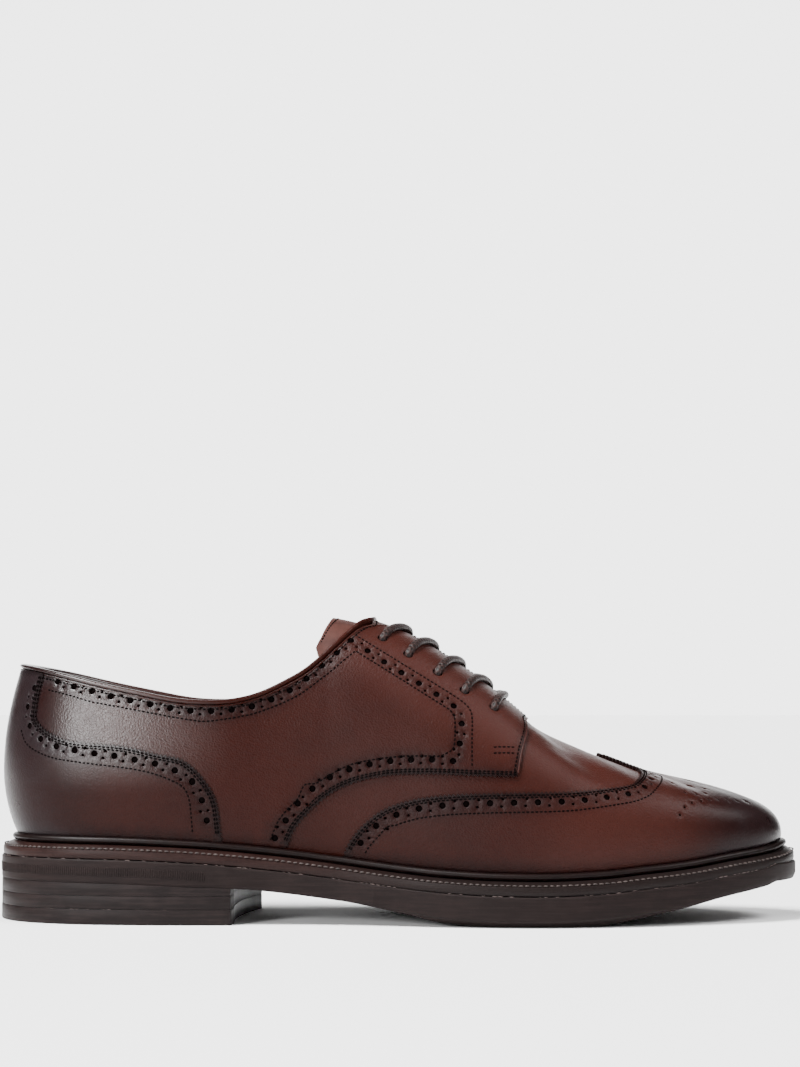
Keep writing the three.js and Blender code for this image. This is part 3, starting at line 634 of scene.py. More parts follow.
# Faces between rows of points; closed says whether the rows and the points meet again
def loft(name, points, closed, sharpAngle=None):
    rows, across = points.shape[:2]
    lastRow = rows if closed[0] else rows - 1
    lastAcross = across if closed[1] else across - 1
    i, j = np.meshgrid(np.arange(lastRow), np.arange(lastAcross), indexing="ij")
    i, j = i.ravel(), j.ravel()
    i2, j2 = (i + 1) % rows, (j + 1) % across
    faces = np.stack([i * across + j, i2 * across + j, i2 * across + j2, i * across + j2], axis=-1)
    return newMesh(name, points.reshape(-1, 3), faces, sharpAngle)


print("tools ready")


# Materials: a Wire is one output, and arithmetic on wires makes Math nodes
class Wire:
    def __init__(self, tree, socket):
        self.tree = tree
        self.socket = socket

    def maths(self, operation, *values):
        made = self.tree.nodes.new("ShaderNodeMath")
        made.operation = operation
        for place, value in zip(made.inputs, values):
            plug(self.tree, place, value)
        return Wire(self.tree, made.outputs[0])

    def __add__(self, other):
        return self.maths("ADD", self, other)

    def __radd__(self, other):
        return self.maths("ADD", other, self)

    def __sub__(self, other):
        return self.maths("SUBTRACT", self, other)

    def __rsub__(self, other):
        return self.maths("SUBTRACT", other, self)

    def __mul__(self, other):
        return self.maths("MULTIPLY", self, other)

    def __rmul__(self, other):
        return self.maths("MULTIPLY", other, self)

    def __truediv__(self, other):
        return self.maths("DIVIDE", self, other)

    def __rtruediv__(self, other):
        return self.maths("DIVIDE", other, self)

    def __pow__(self, other):
        return self.maths("POWER", self, other)

    def sine(self):
        return self.maths("SINE", self)

    def larger(self, other):
        return self.maths("MAXIMUM", self, other)

    def smooth(self, low, high):
        made = self.tree.nodes.new("ShaderNodeMapRange")
        made.interpolation_type = "SMOOTHSTEP"
        for place, value in zip(made.inputs, (self, low, high, 0.0, 1.0)):
            plug(self.tree, place, value)
        return Wire(self.tree, made.outputs[0])


def plug(tree, place, value):
    if isinstance(value, Wire):
        tree.links.new(value.socket, place)
    elif isinstance(value, (tuple, list)) and len(value) == 3 and place.type == "RGBA":
        place.default_value = (*value, 1.0)
    else:
        place.default_value = value


class Finish:
    def __init__(self, name):
        self.material = bpy.data.materials.new(name)
        self.material.use_nodes = True
        self.tree = self.material.node_tree
        self.tree.nodes.clear()
        self.output = self.tree.nodes.new("ShaderNodeOutputMaterial")
        self.shader = self.tree.nodes.new("ShaderNodeBsdfPrincipled")
        self.tree.links.new(self.shader.outputs[0], self.output.inputs["Surface"])
        self.place = Wire(self.tree, self.tree.nodes.new("ShaderNodeTexCoord").outputs["Object"])

    def node(self, kind, settings, values, output=0):
        made = self.tree.nodes.new(kind)
        for key, value in settings.items():
            setattr(made, key, value)
        for key, value in values.items():
            plug(self.tree, made.inputs[key], value)
        return Wire(self.tree, made.outputs[output])

    def coordinate(self, axis):
        return self.node("ShaderNodeSeparateXYZ", {}, {"Vector": self.place}, axis) * (1 / metre)

    def attribute(self, name):
        return self.node("ShaderNodeAttribute", {"attribute_name": name}, {}, "Fac")

    def noise(self, size, detail=3.0, place=None):
        values = {
            "Vector": place or self.place, "Scale": 1 / (size * metre), "Detail": detail, "Roughness": 0.55,
        }
        return self.node("ShaderNodeTexNoise", {}, values, "Fac")

    def cells(self, size):
        values = {"Vector": self.place, "Scale": 1 / (size * metre)}
        return self.node("ShaderNodeTexVoronoi", {"feature": "SMOOTH_F1"}, values, "Distance")

    def stretched(self, x, y, z):
        return self.node("ShaderNodeVectorMath", {"operation": "MULTIPLY"}, {0: self.place, 1: (x, y, z)})

    def mix(self, share, first, second):
        return self.node("ShaderNodeMix", {"data_type": "RGBA"}, {0: share, 6: first, 7: second}, 2)

    def bump(self, height, distance, strength, below=None):
        values = {"Strength": strength, "Distance": distance * metre, "Height": height}
        if below is not None:
            values["Normal"] = below
        return self.node("ShaderNodeBump", {}, values)

    def set(self, **values):
        for key, value in values.items():
            plug(self.tree, self.shader.inputs[key.replace("_", " ")], value)
        return self.material


# The dark colour is the burnished toe and heel, lifted to a grey purple that partly paints in the toe's sheen
leatherLook = {
    "red": (0.0152, 0.0023, 0.0011), "deep": (0.0078, 0.0014, 0.001), "dark": (0.0098, 0.0062, 0.0068),
    "pale": (0.0275, 0.0072, 0.0052),
    "roughness": 0.4, "gloss": 0.085, "grain": 0.22, "toeStart": 95.0, "heelStart": -118.0,
    # The last colour below is the near-black of the painted shadow along each panel's cut edge
    "polish": 1.0, "polishRoughness": 0.32, "cutShadowColour": (0.002, 0.0009, 0.0009),
}


def leatherFinish(name, look, burnish=0.0):
    finish = Finish(name)
    x, z = finish.coordinate(0), finish.coordinate(2)
    cloudy = finish.noise(38.0, 3.0)
    fine = finish.noise(7.0, 4.0)
    toe = (x + z * 0.3).smooth(look["toeStart"], look["toeStart"] + 62)
    heel = (x * -1.0).smooth(-look["heelStart"] - 14, -look["heelStart"] + 30)
    ends = (toe * 0.9).larger(heel * 0.85)
    edge = finish.attribute("edge")
    rim = finish.attribute("rim")
    dark = ends + edge * 0.6 + burnish + (cloudy - 0.5) * 0.7 + (fine - 0.5) * 0.3
    first = finish.mix(dark.smooth(-0.1, 0.6), look["red"], look["deep"])
    # Towards the burnished ends the colour goes to the dark tone: real burnish, with part of the toe's sheen
    # painted in
    burnt = finish.mix(dark.smooth(0.45, 1.25), first, look["dark"])
    facing = (z + x * 0.6).smooth(76.0, 98.0) * x.smooth(-45.0, -10.0) * (x * -1.0).smooth(-105.0, -70.0)
    wing = x.smooth(30.0, 75.0) * (x * -1.0).smooth(-130.0, -98.0) * 0.75
    burnt = finish.mix(facing.larger(wing) * (1.0 - edge * 0.6), burnt, look["pale"])
    # Painted shadow: the colour goes near black along each panel's cut edge, where the step casts shade
    colour = finish.mix(rim * 0.85, burnt, look["cutShadowColour"])
    rear = (x * -1.0).smooth(58.0, 112.0) * x.smooth(-142.0, -118.0)
    polish = rear * z.smooth(48.0, 72.0) * look["polish"]
    grain = finish.cells(0.62)
    pores = finish.noise(0.32, 2.0)
    soft = finish.noise(14.0, 2.0)
    wide = finish.bump(soft, 0.35, 0.4)
    rough = look["roughness"] - ends * 0.12 + (fine - 0.5) * 0.12 + (cloudy - 0.5) * 0.1
    normal = finish.bump((grain + pores * 0.6) * (1.0 - ends * 0.75), look["grain"], 0.7, wide)
    return finish.set(
        Base_Color=colour, Roughness=rough, Normal=normal, Specular_IOR_Level=look["gloss"],
        Coat_Weight=polish, Coat_Roughness=look["polishRoughness"], Coat_Normal=normal,
    )


def plainFinish(name, colour, second, roughness, size=6.0, grain=0.5, depth=0.08, gloss=0.3):
    finish = Finish(name)
    spots = finish.noise(size, 4.0)
    shade = finish.mix(spots.smooth(0.35, 0.7), colour, second)
    height = finish.noise(grain, 3.0)
    return finish.set(
        Base_Color=shade, Roughness=roughness + (spots - 0.5) * 0.15,
        Normal=finish.bump(height, depth, 0.7), Specular_IOR_Level=gloss,
    )


# Sole edges: streaks that run level around the shoe, and a painted highlight towards the heel's back
def edgeFinish(name, colour, second, roughness, depth=0.12, gloss=0.3, front=None):
    finish = Finish(name)
    streaks = finish.noise(0.8, 3.0, place=finish.stretched(0.05, 0.05, 1.0))
    patches = finish.noise(9.0, 3.0)
    grit = finish.noise(0.5, 2.0)
    rear = (finish.coordinate(0) * -1.0).smooth(126.0, 153.0)
    # Lighter streaks and patches are scuffs; the lift towards the heel's back is a painted highlight
    scuffAndRearHighlight = (streaks * 0.6 + patches * 0.4 + rear * 0.12).smooth(0.4, 0.66)
    shade = finish.mix(scuffAndRearHighlight, colour, second)
    if front is not None:
        shade = finish.mix(finish.coordinate(0).smooth(-70.0, 30.0), shade, front)
    return finish.set(
        Base_Color=shade, Roughness=roughness + (patches - 0.5) * 0.2,
        Normal=finish.bump(streaks + grit * 0.35, depth, 0.8), Specular_IOR_Level=gloss,
    )


braid = {"strands": 8.0, "pitch": 1.9, "depth": 0.16}


def laceFinish(name, colour, second):
    finish = Finish(name)
    turned = finish.attribute("angle") * (braid["strands"] / 2)
    run = finish.attribute("reach") * (2 * math.pi / braid["pitch"])
    height = (turned + run).sine().larger((turned - run).sine())
    fuzz = finish.noise(0.35, 3.0)
    # Painted shade: the braid's grooves are coloured darker and its crests lighter; the fuzz gives random
    # tone
    shade = finish.mix((height * 0.5 + fuzz * 0.5).smooth(0.2, 0.85), second, colour)
    return finish.set(
        Base_Color=shade, Roughness=0.45, Normal=finish.bump(height + fuzz * 0.5, braid["depth"], 0.8),
        Specular_IOR_Level=0.16,
    )


finishes = {
    "leather": leatherFinish("burnished_leather", leatherLook),
    "dark": leatherFinish("dark_leather", leatherLook, 0.12),
    "binding": leatherFinish(
        "binding_leather", dict(leatherLook, roughness=0.3, grain=0.08, gloss=0.06), 0.05,
    ),
    "lining": plainFinish("lining_leather", (0.3, 0.15, 0.075), (0.24, 0.11, 0.055), 0.6),
    "welt": edgeFinish(
        "welt_leather", (0.0095, 0.0036, 0.003), (0.0145, 0.006, 0.005), 0.45, gloss=0.1,
        front=(0.0062, 0.0036, 0.0033),
    ),
    "rubber": edgeFinish("sole_rubber", (0.0068, 0.0042, 0.004), (0.0105, 0.0066, 0.0062), 0.55, 0.05, 0.07),
    "heel": edgeFinish("heel_rubber", (0.0062, 0.0042, 0.0041), (0.0118, 0.008, 0.0077), 0.5, 0.1, 0.08),
    "tongue": plainFinish(
        "tongue_leather", (0.046, 0.0165, 0.0125), (0.032, 0.011, 0.0085), 0.65, gloss=0.12,
    ),
    "weltThread": plainFinish("welt_thread", (0.036, 0.025, 0.022), (0.01, 0.0064, 0.0056), 0.6, 2.0),
    "rand": plainFinish("rand_leather", (0.005, 0.0021, 0.0018), (0.0032, 0.0014, 0.0013), 0.4, gloss=0.1),
    "fleck": plainFinish("seam_fleck", (0.07, 0.05, 0.046), (0.03, 0.02, 0.018), 0.6, 3.0),
    # Lighter colour of the roll on the facing's folded front edge: painted highlight
    "facingFoldHighlight": plainFinish("raw_edge", (0.03, 0.0085, 0.0066), (0.017, 0.0045, 0.0036), 0.5, 2.0, gloss=0.1),
    "lace": laceFinish("lace_cord", (0.022, 0.0095, 0.008), (0.0055, 0.0026, 0.0023)),
    # Stitch thread is painted near black, darker than its real leather-red, so it carries the shade in the
    # stitch lines: painted shade
    "thread": plainFinish("thread", (0.0016, 0.0007, 0.0007), (0.001, 0.0005, 0.0005), 0.65, 2.0, gloss=0.02),
    # Near-black colour of the discs in the holes: painted shade
    "hole": plainFinish("hole_floor", (0.003, 0.002, 0.002), (0.002, 0.001, 0.001), 0.8, gloss=0.0),
}


def addPiece(piece, finish, slot, *nodes):
    piece.data.materials.append(finishes[finish])
    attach(piece, "root")
    if nodes:
        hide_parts(*nodes)
    return piece


print("finishes ready")


# Upper shell and its lining

binding = {
    "radius": 1.1, "middle": 1.7, "reach": 2.4, "heelMiddle": 2.1, "heelReach": 3.0, "tuck": 1.9, "fold": 0.3,
}
collarRim = 2 * binding["middle"] + sole["gap"]
collarLine = sideLine(topline, 200, -collarRim)
collarFront = collarLine[-1]
facing = {"gap": 13.0, "pitch": 0.085, "front": float(stationX(0.665)) - 4.0}


def throatHalf(x):
    return facing["gap"] / 2 + np.maximum(0, facing["front"] - x) * facing["pitch"] * 0.5


def collarHeight(x):
    return np.where(x > collarFront[0], 1e3, np.interp(x, collarLine[:, 0], collarLine[:, 1]))


def insideThroat(points, front):
    half = throatHalf(front)
    x, y = points[..., 0], np.abs(points[..., 1])
    rounded = np.sqrt(np.maximum(0, half ** 2 - (x - front + half) ** 2))
    wide = np.where(x < front - half, throatHalf(x), rounded)
    return (y < wide) & (x < front) & (x > collarFront[0] - facing["gap"])


# Climbs each column by halving steps until the given cut takes the leather away
def climbUntil(turns, out, isCut):
    low, high = np.full(len(turns), 1.6), np.full(len(turns), 3.0)
    for _ in range(22):
        middle = (low + high) / 2
        cut = isCut(formPoint(turns, middle, out))
        low, high = np.where(cut, low, middle), np.where(cut, middle, high)
    return low, high


def openLevel(turns, out, front=facing["front"]):
    def isCut(points):
        return (points[:, 2] > collarHeight(points[:, 0]) + binding["tuck"]) | insideThroat(points, front)

    low, high = climbUntil(turns, out, isCut)
    return np.where(high > 2.9999, 3.0, low)


def upperSurface(out):
    levels = shellClimbs[None, :] * openLevel(shellTurns, out)[:, None]
    return formPoint(shellTurns[:, None], levels, out)


def closedShell(name, outer, inner):
    section = np.concatenate([outer, inner[:, ::-1]], axis=1)
    return loft(name, section, (True, True), sharpAngle=50)


# Each crease is a soft trough with a low ridge beside it: line of spots, depth, width
creases = [
    ([(0.2977, 2.56), (0.3101, 2.585), (0.3252, 2.6), (0.3344, 2.5), (0.3434, 2.43)], 0.252, 3.4),
    ([(0.2949, 2.25), (0.3062, 2.28), (0.3213, 2.31)], 0.132, 3.0),
    ([(0.2786, 2.5418), (0.2816, 2.525), (0.2847, 2.5267)], 0.096, 1.0),
    ([(0.2766, 2.49), (0.2799, 2.478), (0.283, 2.482)], 0.072, 0.9),
    ([(0.262, 2.47), (0.268, 2.45), (0.272, 2.42)], 0.06, 1.6),
]
ridge = {"place": 1.9, "share": 0.35}


def creaseRelief(points):
    relief = np.zeros(len(points))
    for line, depth, width in creases:
        for side in (-1, 1):
            spots = onSide(side, evenSpots(splineThrough(line, 40), 1.0, wall["skin"]))
            gaps = distanceTo(points, formPoint(*spots.T, wall["skin"]))
            share = gaps / width
            raised = ridge["share"] * np.exp(-(share - ridge["place"]) ** 2)
            relief += depth * (raised - np.exp(-share ** 2))
    return relief


# Distance of each face of the shell from the last
shell = {"leatherFace": 2.2, "leatherBack": 1.1, "liningFace": 1.0, "liningBack": 0.0, "columns": 560}
shellTurns = np.linspace(0, 1, shell["columns"], endpoint=False)
shellClimbs = np.concatenate([[0, 0.17], np.linspace(0.33, 1, 52)])
leatherFace, leatherBack = upperSurface(shell["leatherFace"]), upperSurface(shell["leatherBack"])
pressed = creaseRelief(leatherFace.reshape(-1, 3)).reshape(leatherFace.shape[:2])
leatherFace += unit(leatherFace - leatherBack) * pressed[..., None]
addPiece(closedShell("upper_leather", leatherFace, leatherBack), "leather", "burnished_leather", "upper")
liningFace, liningBack = upperSurface(shell["liningFace"]), upperSurface(shell["liningBack"])
addPiece(closedShell("upper_lining", liningFace, liningBack), "lining", "lining_leather")
print("upper ready")


# Panels: lines on the outer side, read once and mirrored for the inner side

# Distance of each panel's face from the last, and of the backs of all panels
panelOut = {"quarter": 3.4, "wing": 3.6, "counter": 4.3, "under": 2.1}
perforation = {"large": 1.25, "small": 0.55, "pair": 1.35, "slant": 0.2, "depth": 0.75}

counterHoles = [
    (0.017, 0.645), (0.0093, 0.5874), (0.0092, 0.5034), (0.0207, 0.4406), (0.0417, 0.3988), (0.0664, 0.3796),
    (0.0967, 0.3633), (0.1254, 0.3533), (0.1519, 0.34), (0.1802, 0.3266), (0.2048, 0.3044),
    (0.2297, 0.2575), (0.2437, 0.1727), (0.2494, 0.0887),
]
counterStitch = [
    (0.0, 0.46), (0.008, 0.4), (0.026, 0.362), (0.05, 0.336), (0.09, 0.318), (0.14, 0.302), (0.175, 0.285),
    (0.205, 0.254), (0.221, 0.222), (0.2275, 0.165), (0.2295, 0.09), (0.231, 0.02),
]
facingHoles = [
    (0.3374, 0.0387), (0.3519, 0.1236), (0.3675, 0.2043), (0.387, 0.2781), (0.4091, 0.3356),
    (0.4352, 0.3819), (0.4624, 0.4171), (0.4896, 0.4427), (0.5181, 0.4595), (0.5452, 0.4691),
    (0.573, 0.4744), (0.577, 0.5476), (0.5802, 0.6259), (0.5733, 0.698), (0.55, 0.7492),
    (0.5273, 0.7899), (0.5039, 0.8294), (0.4817, 0.8668), (0.4594, 0.9077), (0.4357, 0.946),
]
facingStitch = [
    (0.4401, 0.9726), (0.4738, 0.9186), (0.5078, 0.8617), (0.5417, 0.8035), (0.5764, 0.7386),
    (0.5885, 0.706), (0.5934, 0.6685), (0.593, 0.5637), (0.5928, 0.4492),
]
stripStitch = [
    (0.037, 0.6361), (0.0697, 0.6111), (0.097, 0.5857), (0.1356, 0.5645), (0.1947, 0.535), (0.222, 0.524),
    (0.2463, 0.5196), (0.2726, 0.5373), (0.3049, 0.5671), (0.3308, 0.6041), (0.3581, 0.6537), (0.3775, 0.7),
    (0.3931, 0.7471), (0.4099, 0.7981), (0.4268, 0.8535), (0.442, 0.9007),
]
facingInner = [
    (0.442, 0.9007), (0.4844, 0.8305), (0.526, 0.7589), (0.5587, 0.7), (0.5667, 0.6836), (0.5712, 0.6431),
    (0.5697, 0.5288), (0.5632, 0.5075),
]
toplineHoles = [
    (0.0502, 0.6743), (0.0743, 0.6503), (0.0965, 0.6335), (0.1183, 0.6143), (0.1438, 0.5976),
    (0.1695, 0.5847), (0.1955, 0.5721), (0.2228, 0.5628), (0.2487, 0.5655), (0.2777, 0.5794),
    (0.3056, 0.6013), (0.3329, 0.6436), (0.3579, 0.6952), (0.3796, 0.7566), (0.3992, 0.8239),
    (0.4177, 0.885), (0.4357, 0.946),
]
barTack = [[(0.2713, 2.367), (0.2827, 2.4077)], [(0.2709, 2.3393), (0.282, 2.3755)]]
eyelets = np.array([
    (0.2259, 2.7392), (0.2371, 2.682), (0.2507, 2.643), (0.2632, 2.613), (0.2777, 2.601),
])
medallionLarge = np.array([(0.4101, 2.6219), (0.4681, 2.5989)])
medallionSmall = np.array([
    (0.3859, 2.545), (0.4, 2.93), (0.43, 2.9), (0.455, 2.85), (0.3866, 2.4109), (0.4426, 2.7324),
    (0.466, 2.8112), (0.466, 2.73), (0.4228, 2.5947), (0.4082, 2.4684), (0.396, 2.4151), (0.464, 2.66),
    (0.482, 2.64), (0.4723, 2.5453), (0.4869, 2.5517), (0.3722, 2.1828), (0.3777, 2.2476), (0.3852, 2.2968),
    (0.3938, 2.3257), (0.4029, 2.354), (0.4131, 2.3776), (0.4227, 2.3798), (0.4323, 2.3798),
    (0.4443, 2.3835),
])


def seenLine(rows, out):
    spots = spotsSeen(-1, sideLine(rows, 90), out)
    return evenSpots(spots, 1.0, out)


# The line at the foot on which a panel ends, hidden behind the bead
def bottomLine(start, end):
    count = max(8, int(abs(end - start) * 288))
    return np.stack([np.linspace(start, end, count), np.full(count, 0.93)], axis=-1)


def evenCount(line, out, count):
    return evenly(formPoint(*line.T, out), 1, line, count=count)[1]


# Large holes at an even pitch, and between each two a pair of small ones across the strip
def perforate(line, out, count):
    large = evenCount(line, out, count)
    middles = (large[1:] + large[:-1]) / 2
    _, way, leftward, _ = frameAlong(evenCount(middles, out, len(middles)), out)
    aside = (leftward + way * perforation["slant"]) * perforation["pair"]
    return large, np.concatenate([moveOnSurface(middles, aside, out), moveOnSurface(middles, -aside, out)])


# Near-black discs sunk in every perforation and eyelet: painted shade inside the holes
holeShadeDiscs = []


def holeLoops(large, small, out):
    radii = np.repeat([perforation["large"], perforation["small"]], [len(large), len(small)])
    spots = np.concatenate([large, small])
    holeShadeDiscs.append((formPoint(*spots.T, out - perforation["depth"]), normalAt(*spots.T), radii))
    loops = circleSpots(large, perforation["large"], out, 12)
    return loops + circleSpots(small, perforation["small"], out, 8)


def widened(ring, factor):
    middle = ring.mean(0)
    return middle + (ring - middle) * factor


# How far the dark of an edge and of the holes' line spreads, and the painted shadow along the cut itself
burnishing = {"reach": 7.0, "rim": 0.8, "easing": 0.22}


def edgeBurnish(piece, points, lines):
    gaps = distanceTo(points, np.concatenate(lines)[::2])
    shade = np.clip(1 - gaps / burnishing["reach"], 0, 1) ** 1.5
    # Painted shadow, strongest at the cut edge and gone 0.8 mm inside it
    rim = np.clip(1 - distanceTo(points, lines[0]) / burnishing["rim"], 0, 1)
    paintAttribute(piece, "edge", np.tile(shade, 2))
    paintAttribute(piece, "rim", np.tile(rim, 2))


def makePanel(name, outline, holes, out, spacing, holeLines, relief=None):
    spots, faces = cutPanel(outline, holes, out, spacing, [widened(hole, 1.4) for hole in holes])
    piece, outer = leatherPanel(name, spots, faces, out, panelOut["under"], relief, burnishing["easing"])
    edgeBurnish(piece, outer, [formPoint(*line.T, out) for line in (outline, *holeLines)])
    return piece


def crestRowAt(x):
    return np.interp(x, stationX(columns["topAlong"][crestColumn:]), np.arange(crestColumn, lastColumn + 1))


# Wing cap with its strip and medallion, from the outer side over the toe to the inner side

wingSpots = seenLine(wingLine, panelOut["wing"])
peak = np.array([(0.8185, 0.16), (0.806, 0.12), (0.794, 0.082), (0.782, 0.05), (0.774, 0.022), (0.766, 0.0)])
peakX = stationX(peak[:, 0])
peakY = (readColumn("swing", crestRowAt(peakX)) - peak[:, 1]) * last["ballWidth"]
peakTargets = splineThrough(np.stack([peakX, peakY], axis=-1), 24)
peakSpots = spotsSeen(-1, peakTargets, panelOut["wing"], (0, 1))
peakSpots[-1, 1] = 3.0
wingTop = wingSpots[formPoint(*wingSpots.T, panelOut["wing"])[:, 1] < peakTargets[0, 1] - 0.5]
wingEdge = evenSpots(np.concatenate([wingTop, peakSpots]), 1.0, panelOut["wing"])
wingPinked = pinked(wingEdge, panelOut["wing"])
wingPinked[-1] = peakSpots[-1]
print("wing line ready")

crestLine = np.stack([np.linspace(wingPinked[-1, 0], 0.5, 90), np.full(90, 3.0)], axis=-1)
wingOutline = np.concatenate([
    wingPinked, crestLine[1:], mirrored(crestLine)[-2::-1], mirrored(wingPinked)[-2::-1],
    bottomLine(wingPinked[0, 0], 1 - wingPinked[0, 0])[::-1],
])
stripDistance = np.interp(np.linspace(0, 1, len(wingEdge)), [0, 0.6, 1], [3.5, 3.6, 4.3])
wingHoleLine = shiftedLine(wingEdge, -stripDistance, panelOut["wing"])
wingHoleLine = wingHoleLine[(wingHoleLine[:, 1] > 1.38) & (wingHoleLine[:, 1] < 2.93)]
wingLarge, wingSmall = perforate(wingHoleLine, panelOut["wing"], 18)
lateralSmall = np.concatenate([wingSmall, medallionSmall])
lateralLarge = np.concatenate([wingLarge, medallionLarge])
wingHoles = []
for side in (-1, 1):
    wingHoles += holeLoops(onSide(side, lateralLarge), onSide(side, lateralSmall), panelOut["wing"])
wingPiece = makePanel(
    "wing_cap_leather", wingOutline, wingHoles, panelOut["wing"], 2.2,
    [onSide(side, wingHoleLine) for side in (-1, 1)],
)
addPiece(wingPiece, "dark", "dark_leather", "wing_cap")
print("wing cap ready")


# Quarters, one on each side, open at the collar and throat

quarterOut = panelOut["quarter"]
openFront = facing["front"] + facing["gap"]
quarterSpots = seenLine(quarterLine, quarterOut)
frontSpots = seenLine(facingFront + [(0.647, 0.745), (0.635, 0.8)], quarterOut)
frontPoints = formPoint(*frontSpots.T, quarterOut)
inThroat = insideThroat(frontPoints, openFront)
frontSpots = frontSpots[:int(np.argmax(inThroat))] if inThroat.any() else frontSpots
counterSpots = seenLine(counterLine, quarterOut)
facingLine = seenLine(facingHoles, quarterOut)
facingLarge, facingSmall = perforate(facingLine, quarterOut, 20)


def topEdge(start, end):
    turns = np.linspace(start, end, 260)
    return np.stack([turns, openLevel(turns, quarterOut, openFront)], axis=-1)


# The quarter runs on under the counter, up to the leather's own top edge
quarterTop = topEdge(0.03, frontSpots[-1, 0])
underCounter = shiftedLine(counterSpots, -5.0, quarterOut)
underCounter = underCounter[underCounter[:, 1] < openLevel(underCounter[:, 0], quarterOut) - 0.01]
underCounter = underCounter[underCounter[:, 1] > 1.0]
quarterTop = quarterTop[quarterTop[:, 0] > underCounter[0, 0]]
quarterPinked = pinked(quarterSpots, quarterOut)
toplineHoleLine = seenLine(toplineHoles, quarterOut)
toplineLarge, toplineSmall = perforate(toplineHoleLine, quarterOut, 17)
toplineLarge = toplineLarge[:-1]
eyelet = {"radius": 2.0, "depth": 0.95}
eyeletSpots = np.concatenate([eyelets, mirrored(eyelets)])
# The eyelets get the same near-black discs of painted shade
holeShadeDiscs.append((
    formPoint(*eyeletSpots.T, quarterOut - eyelet["depth"]), normalAt(*eyeletSpots.T),
    np.full(len(eyeletSpots), eyelet["radius"]),
))
sides = ((-1, "lateral"), (1, "medial"))
for side, name in sides:
    top = topEdge(*onSide(side, quarterTop[[0, -1]])[:, 0])
    outline = np.concatenate([
        onSide(side, quarterPinked), onSide(side, frontSpots)[1:], top[::-1][1:], onSide(side, underCounter),
        bottomLine(onSide(side, underCounter)[-1, 0], onSide(side, quarterPinked)[0, 0])[:-1],
    ])
    holes = holeLoops(
        onSide(side, np.concatenate([facingLarge, toplineLarge])),
        onSide(side, np.concatenate([facingSmall, toplineSmall])), quarterOut,
    )
    holes += circleSpots(onSide(side, eyelets), eyelet["radius"], quarterOut, 16)
    piece = makePanel(
        "quarter_" + name + "_leather", outline, holes, quarterOut, 2.0,
        [onSide(side, line) for line in (facingLine, toplineHoleLine)], creaseRelief,
    )
    addPiece(piece, "leather", "burnished_leather", "quarter_" + name)
print("quarters ready")


# Heel counter, wrapped around the heel

counterOut = panelOut["counter"]
counterTops = openLevel(counterSpots[:, 0], counterOut)
counterEdge = counterSpots[counterSpots[:, 1] < counterTops - 0.01]
counterPinked = pinked(counterEdge, counterOut)
collarTurns = np.linspace(counterPinked[0, 0], 0.0, 40)
counterTop = np.stack([collarTurns, openLevel(collarTurns, counterOut)], axis=-1)
opposite = np.array([-1.0, 1.0])
counterOutline = np.concatenate([
    counterPinked[::-1], counterTop[1:], (counterTop * opposite)[-2::-1], (counterPinked * opposite)[1:],
    bottomLine(-counterPinked[-1, 0], counterPinked[-1, 0])[:-1],
])
counterHoleLine = seenLine(counterHoles, counterOut)
counterSpotsOfHoles = perforate(counterHoleLine, counterOut, 14)
bothSides = [np.concatenate([spots, spots * opposite]) for spots in counterSpotsOfHoles]
piece = makePanel(
    "heel_counter_leather", counterOutline, holeLoops(*bothSides, counterOut), counterOut, 2.2,
    [counterHoleLine, counterHoleLine * opposite],
)
addPiece(piece, "dark", "dark_leather", "heel_counter")
print("counter ready")


# Sole: rings around the shoe, each a closed section of distance out and height

def soleRing(name, section, count=720, sharpAngle=40):
    turns = np.linspace(0, 1, count, endpoint=False)
    level = beadLevel(planPoint(turns)[:, 0])
    rows = []
    for out, height in section:
        reach = out(turns) if callable(out) else np.full(count, out)
        rows.append(np.concatenate([outlinePoint(turns, reach), (level + height)[:, None]], axis=1))
    return loft(name, np.stack(rows, axis=1), (True, True), sharpAngle=sharpAngle)


def wallAt(height):
    return wall["upper"] + sole["gap"] + last["footTuck"] * height / randStack


# A plate: rings from foot to top, closed by layers that close in on the middle line
def solePlate(name, rings, count=720, across=40):
    turns = np.linspace(0, 1, count, endpoint=False)
    rows = []
    for reach, height in rings:
        points = outlinePoint(turns, reach(turns))
        rows.append(np.concatenate([points, height(points[:, 0])[:, None]], axis=1))

    def cap(index):
        layers = []
        for part in np.linspace(0, 1, across + 1)[1:]:
            points = rows[index] * (1 - part / 2) + rows[index][-np.arange(count) % count] * (part / 2)
            points[:, 2] = rings[index][1](points[:, 0])
            layers.append(points)
        return layers

    points = np.stack([*cap(0)[::-1], *rows, *cap(-1)], axis=1)
    return loft(name, points, (True, False), sharpAngle=40)


beadHalf = np.array([sole["beadWidth"], sole["beadHeight"]]) / 2
beadMiddle = np.array([wall["skin"], -sole["gap"]]) + beadHalf * (1, -1)
beadAngles = np.linspace(0, 2 * math.pi, 14, endpoint=False)
bead = [beadMiddle + beadHalf * (math.cos(angle), math.sin(angle)) for angle in beadAngles]
addPiece(soleRing("rand_bead", bead, sharpAngle=None), "rand", "welt_leather", "rand")

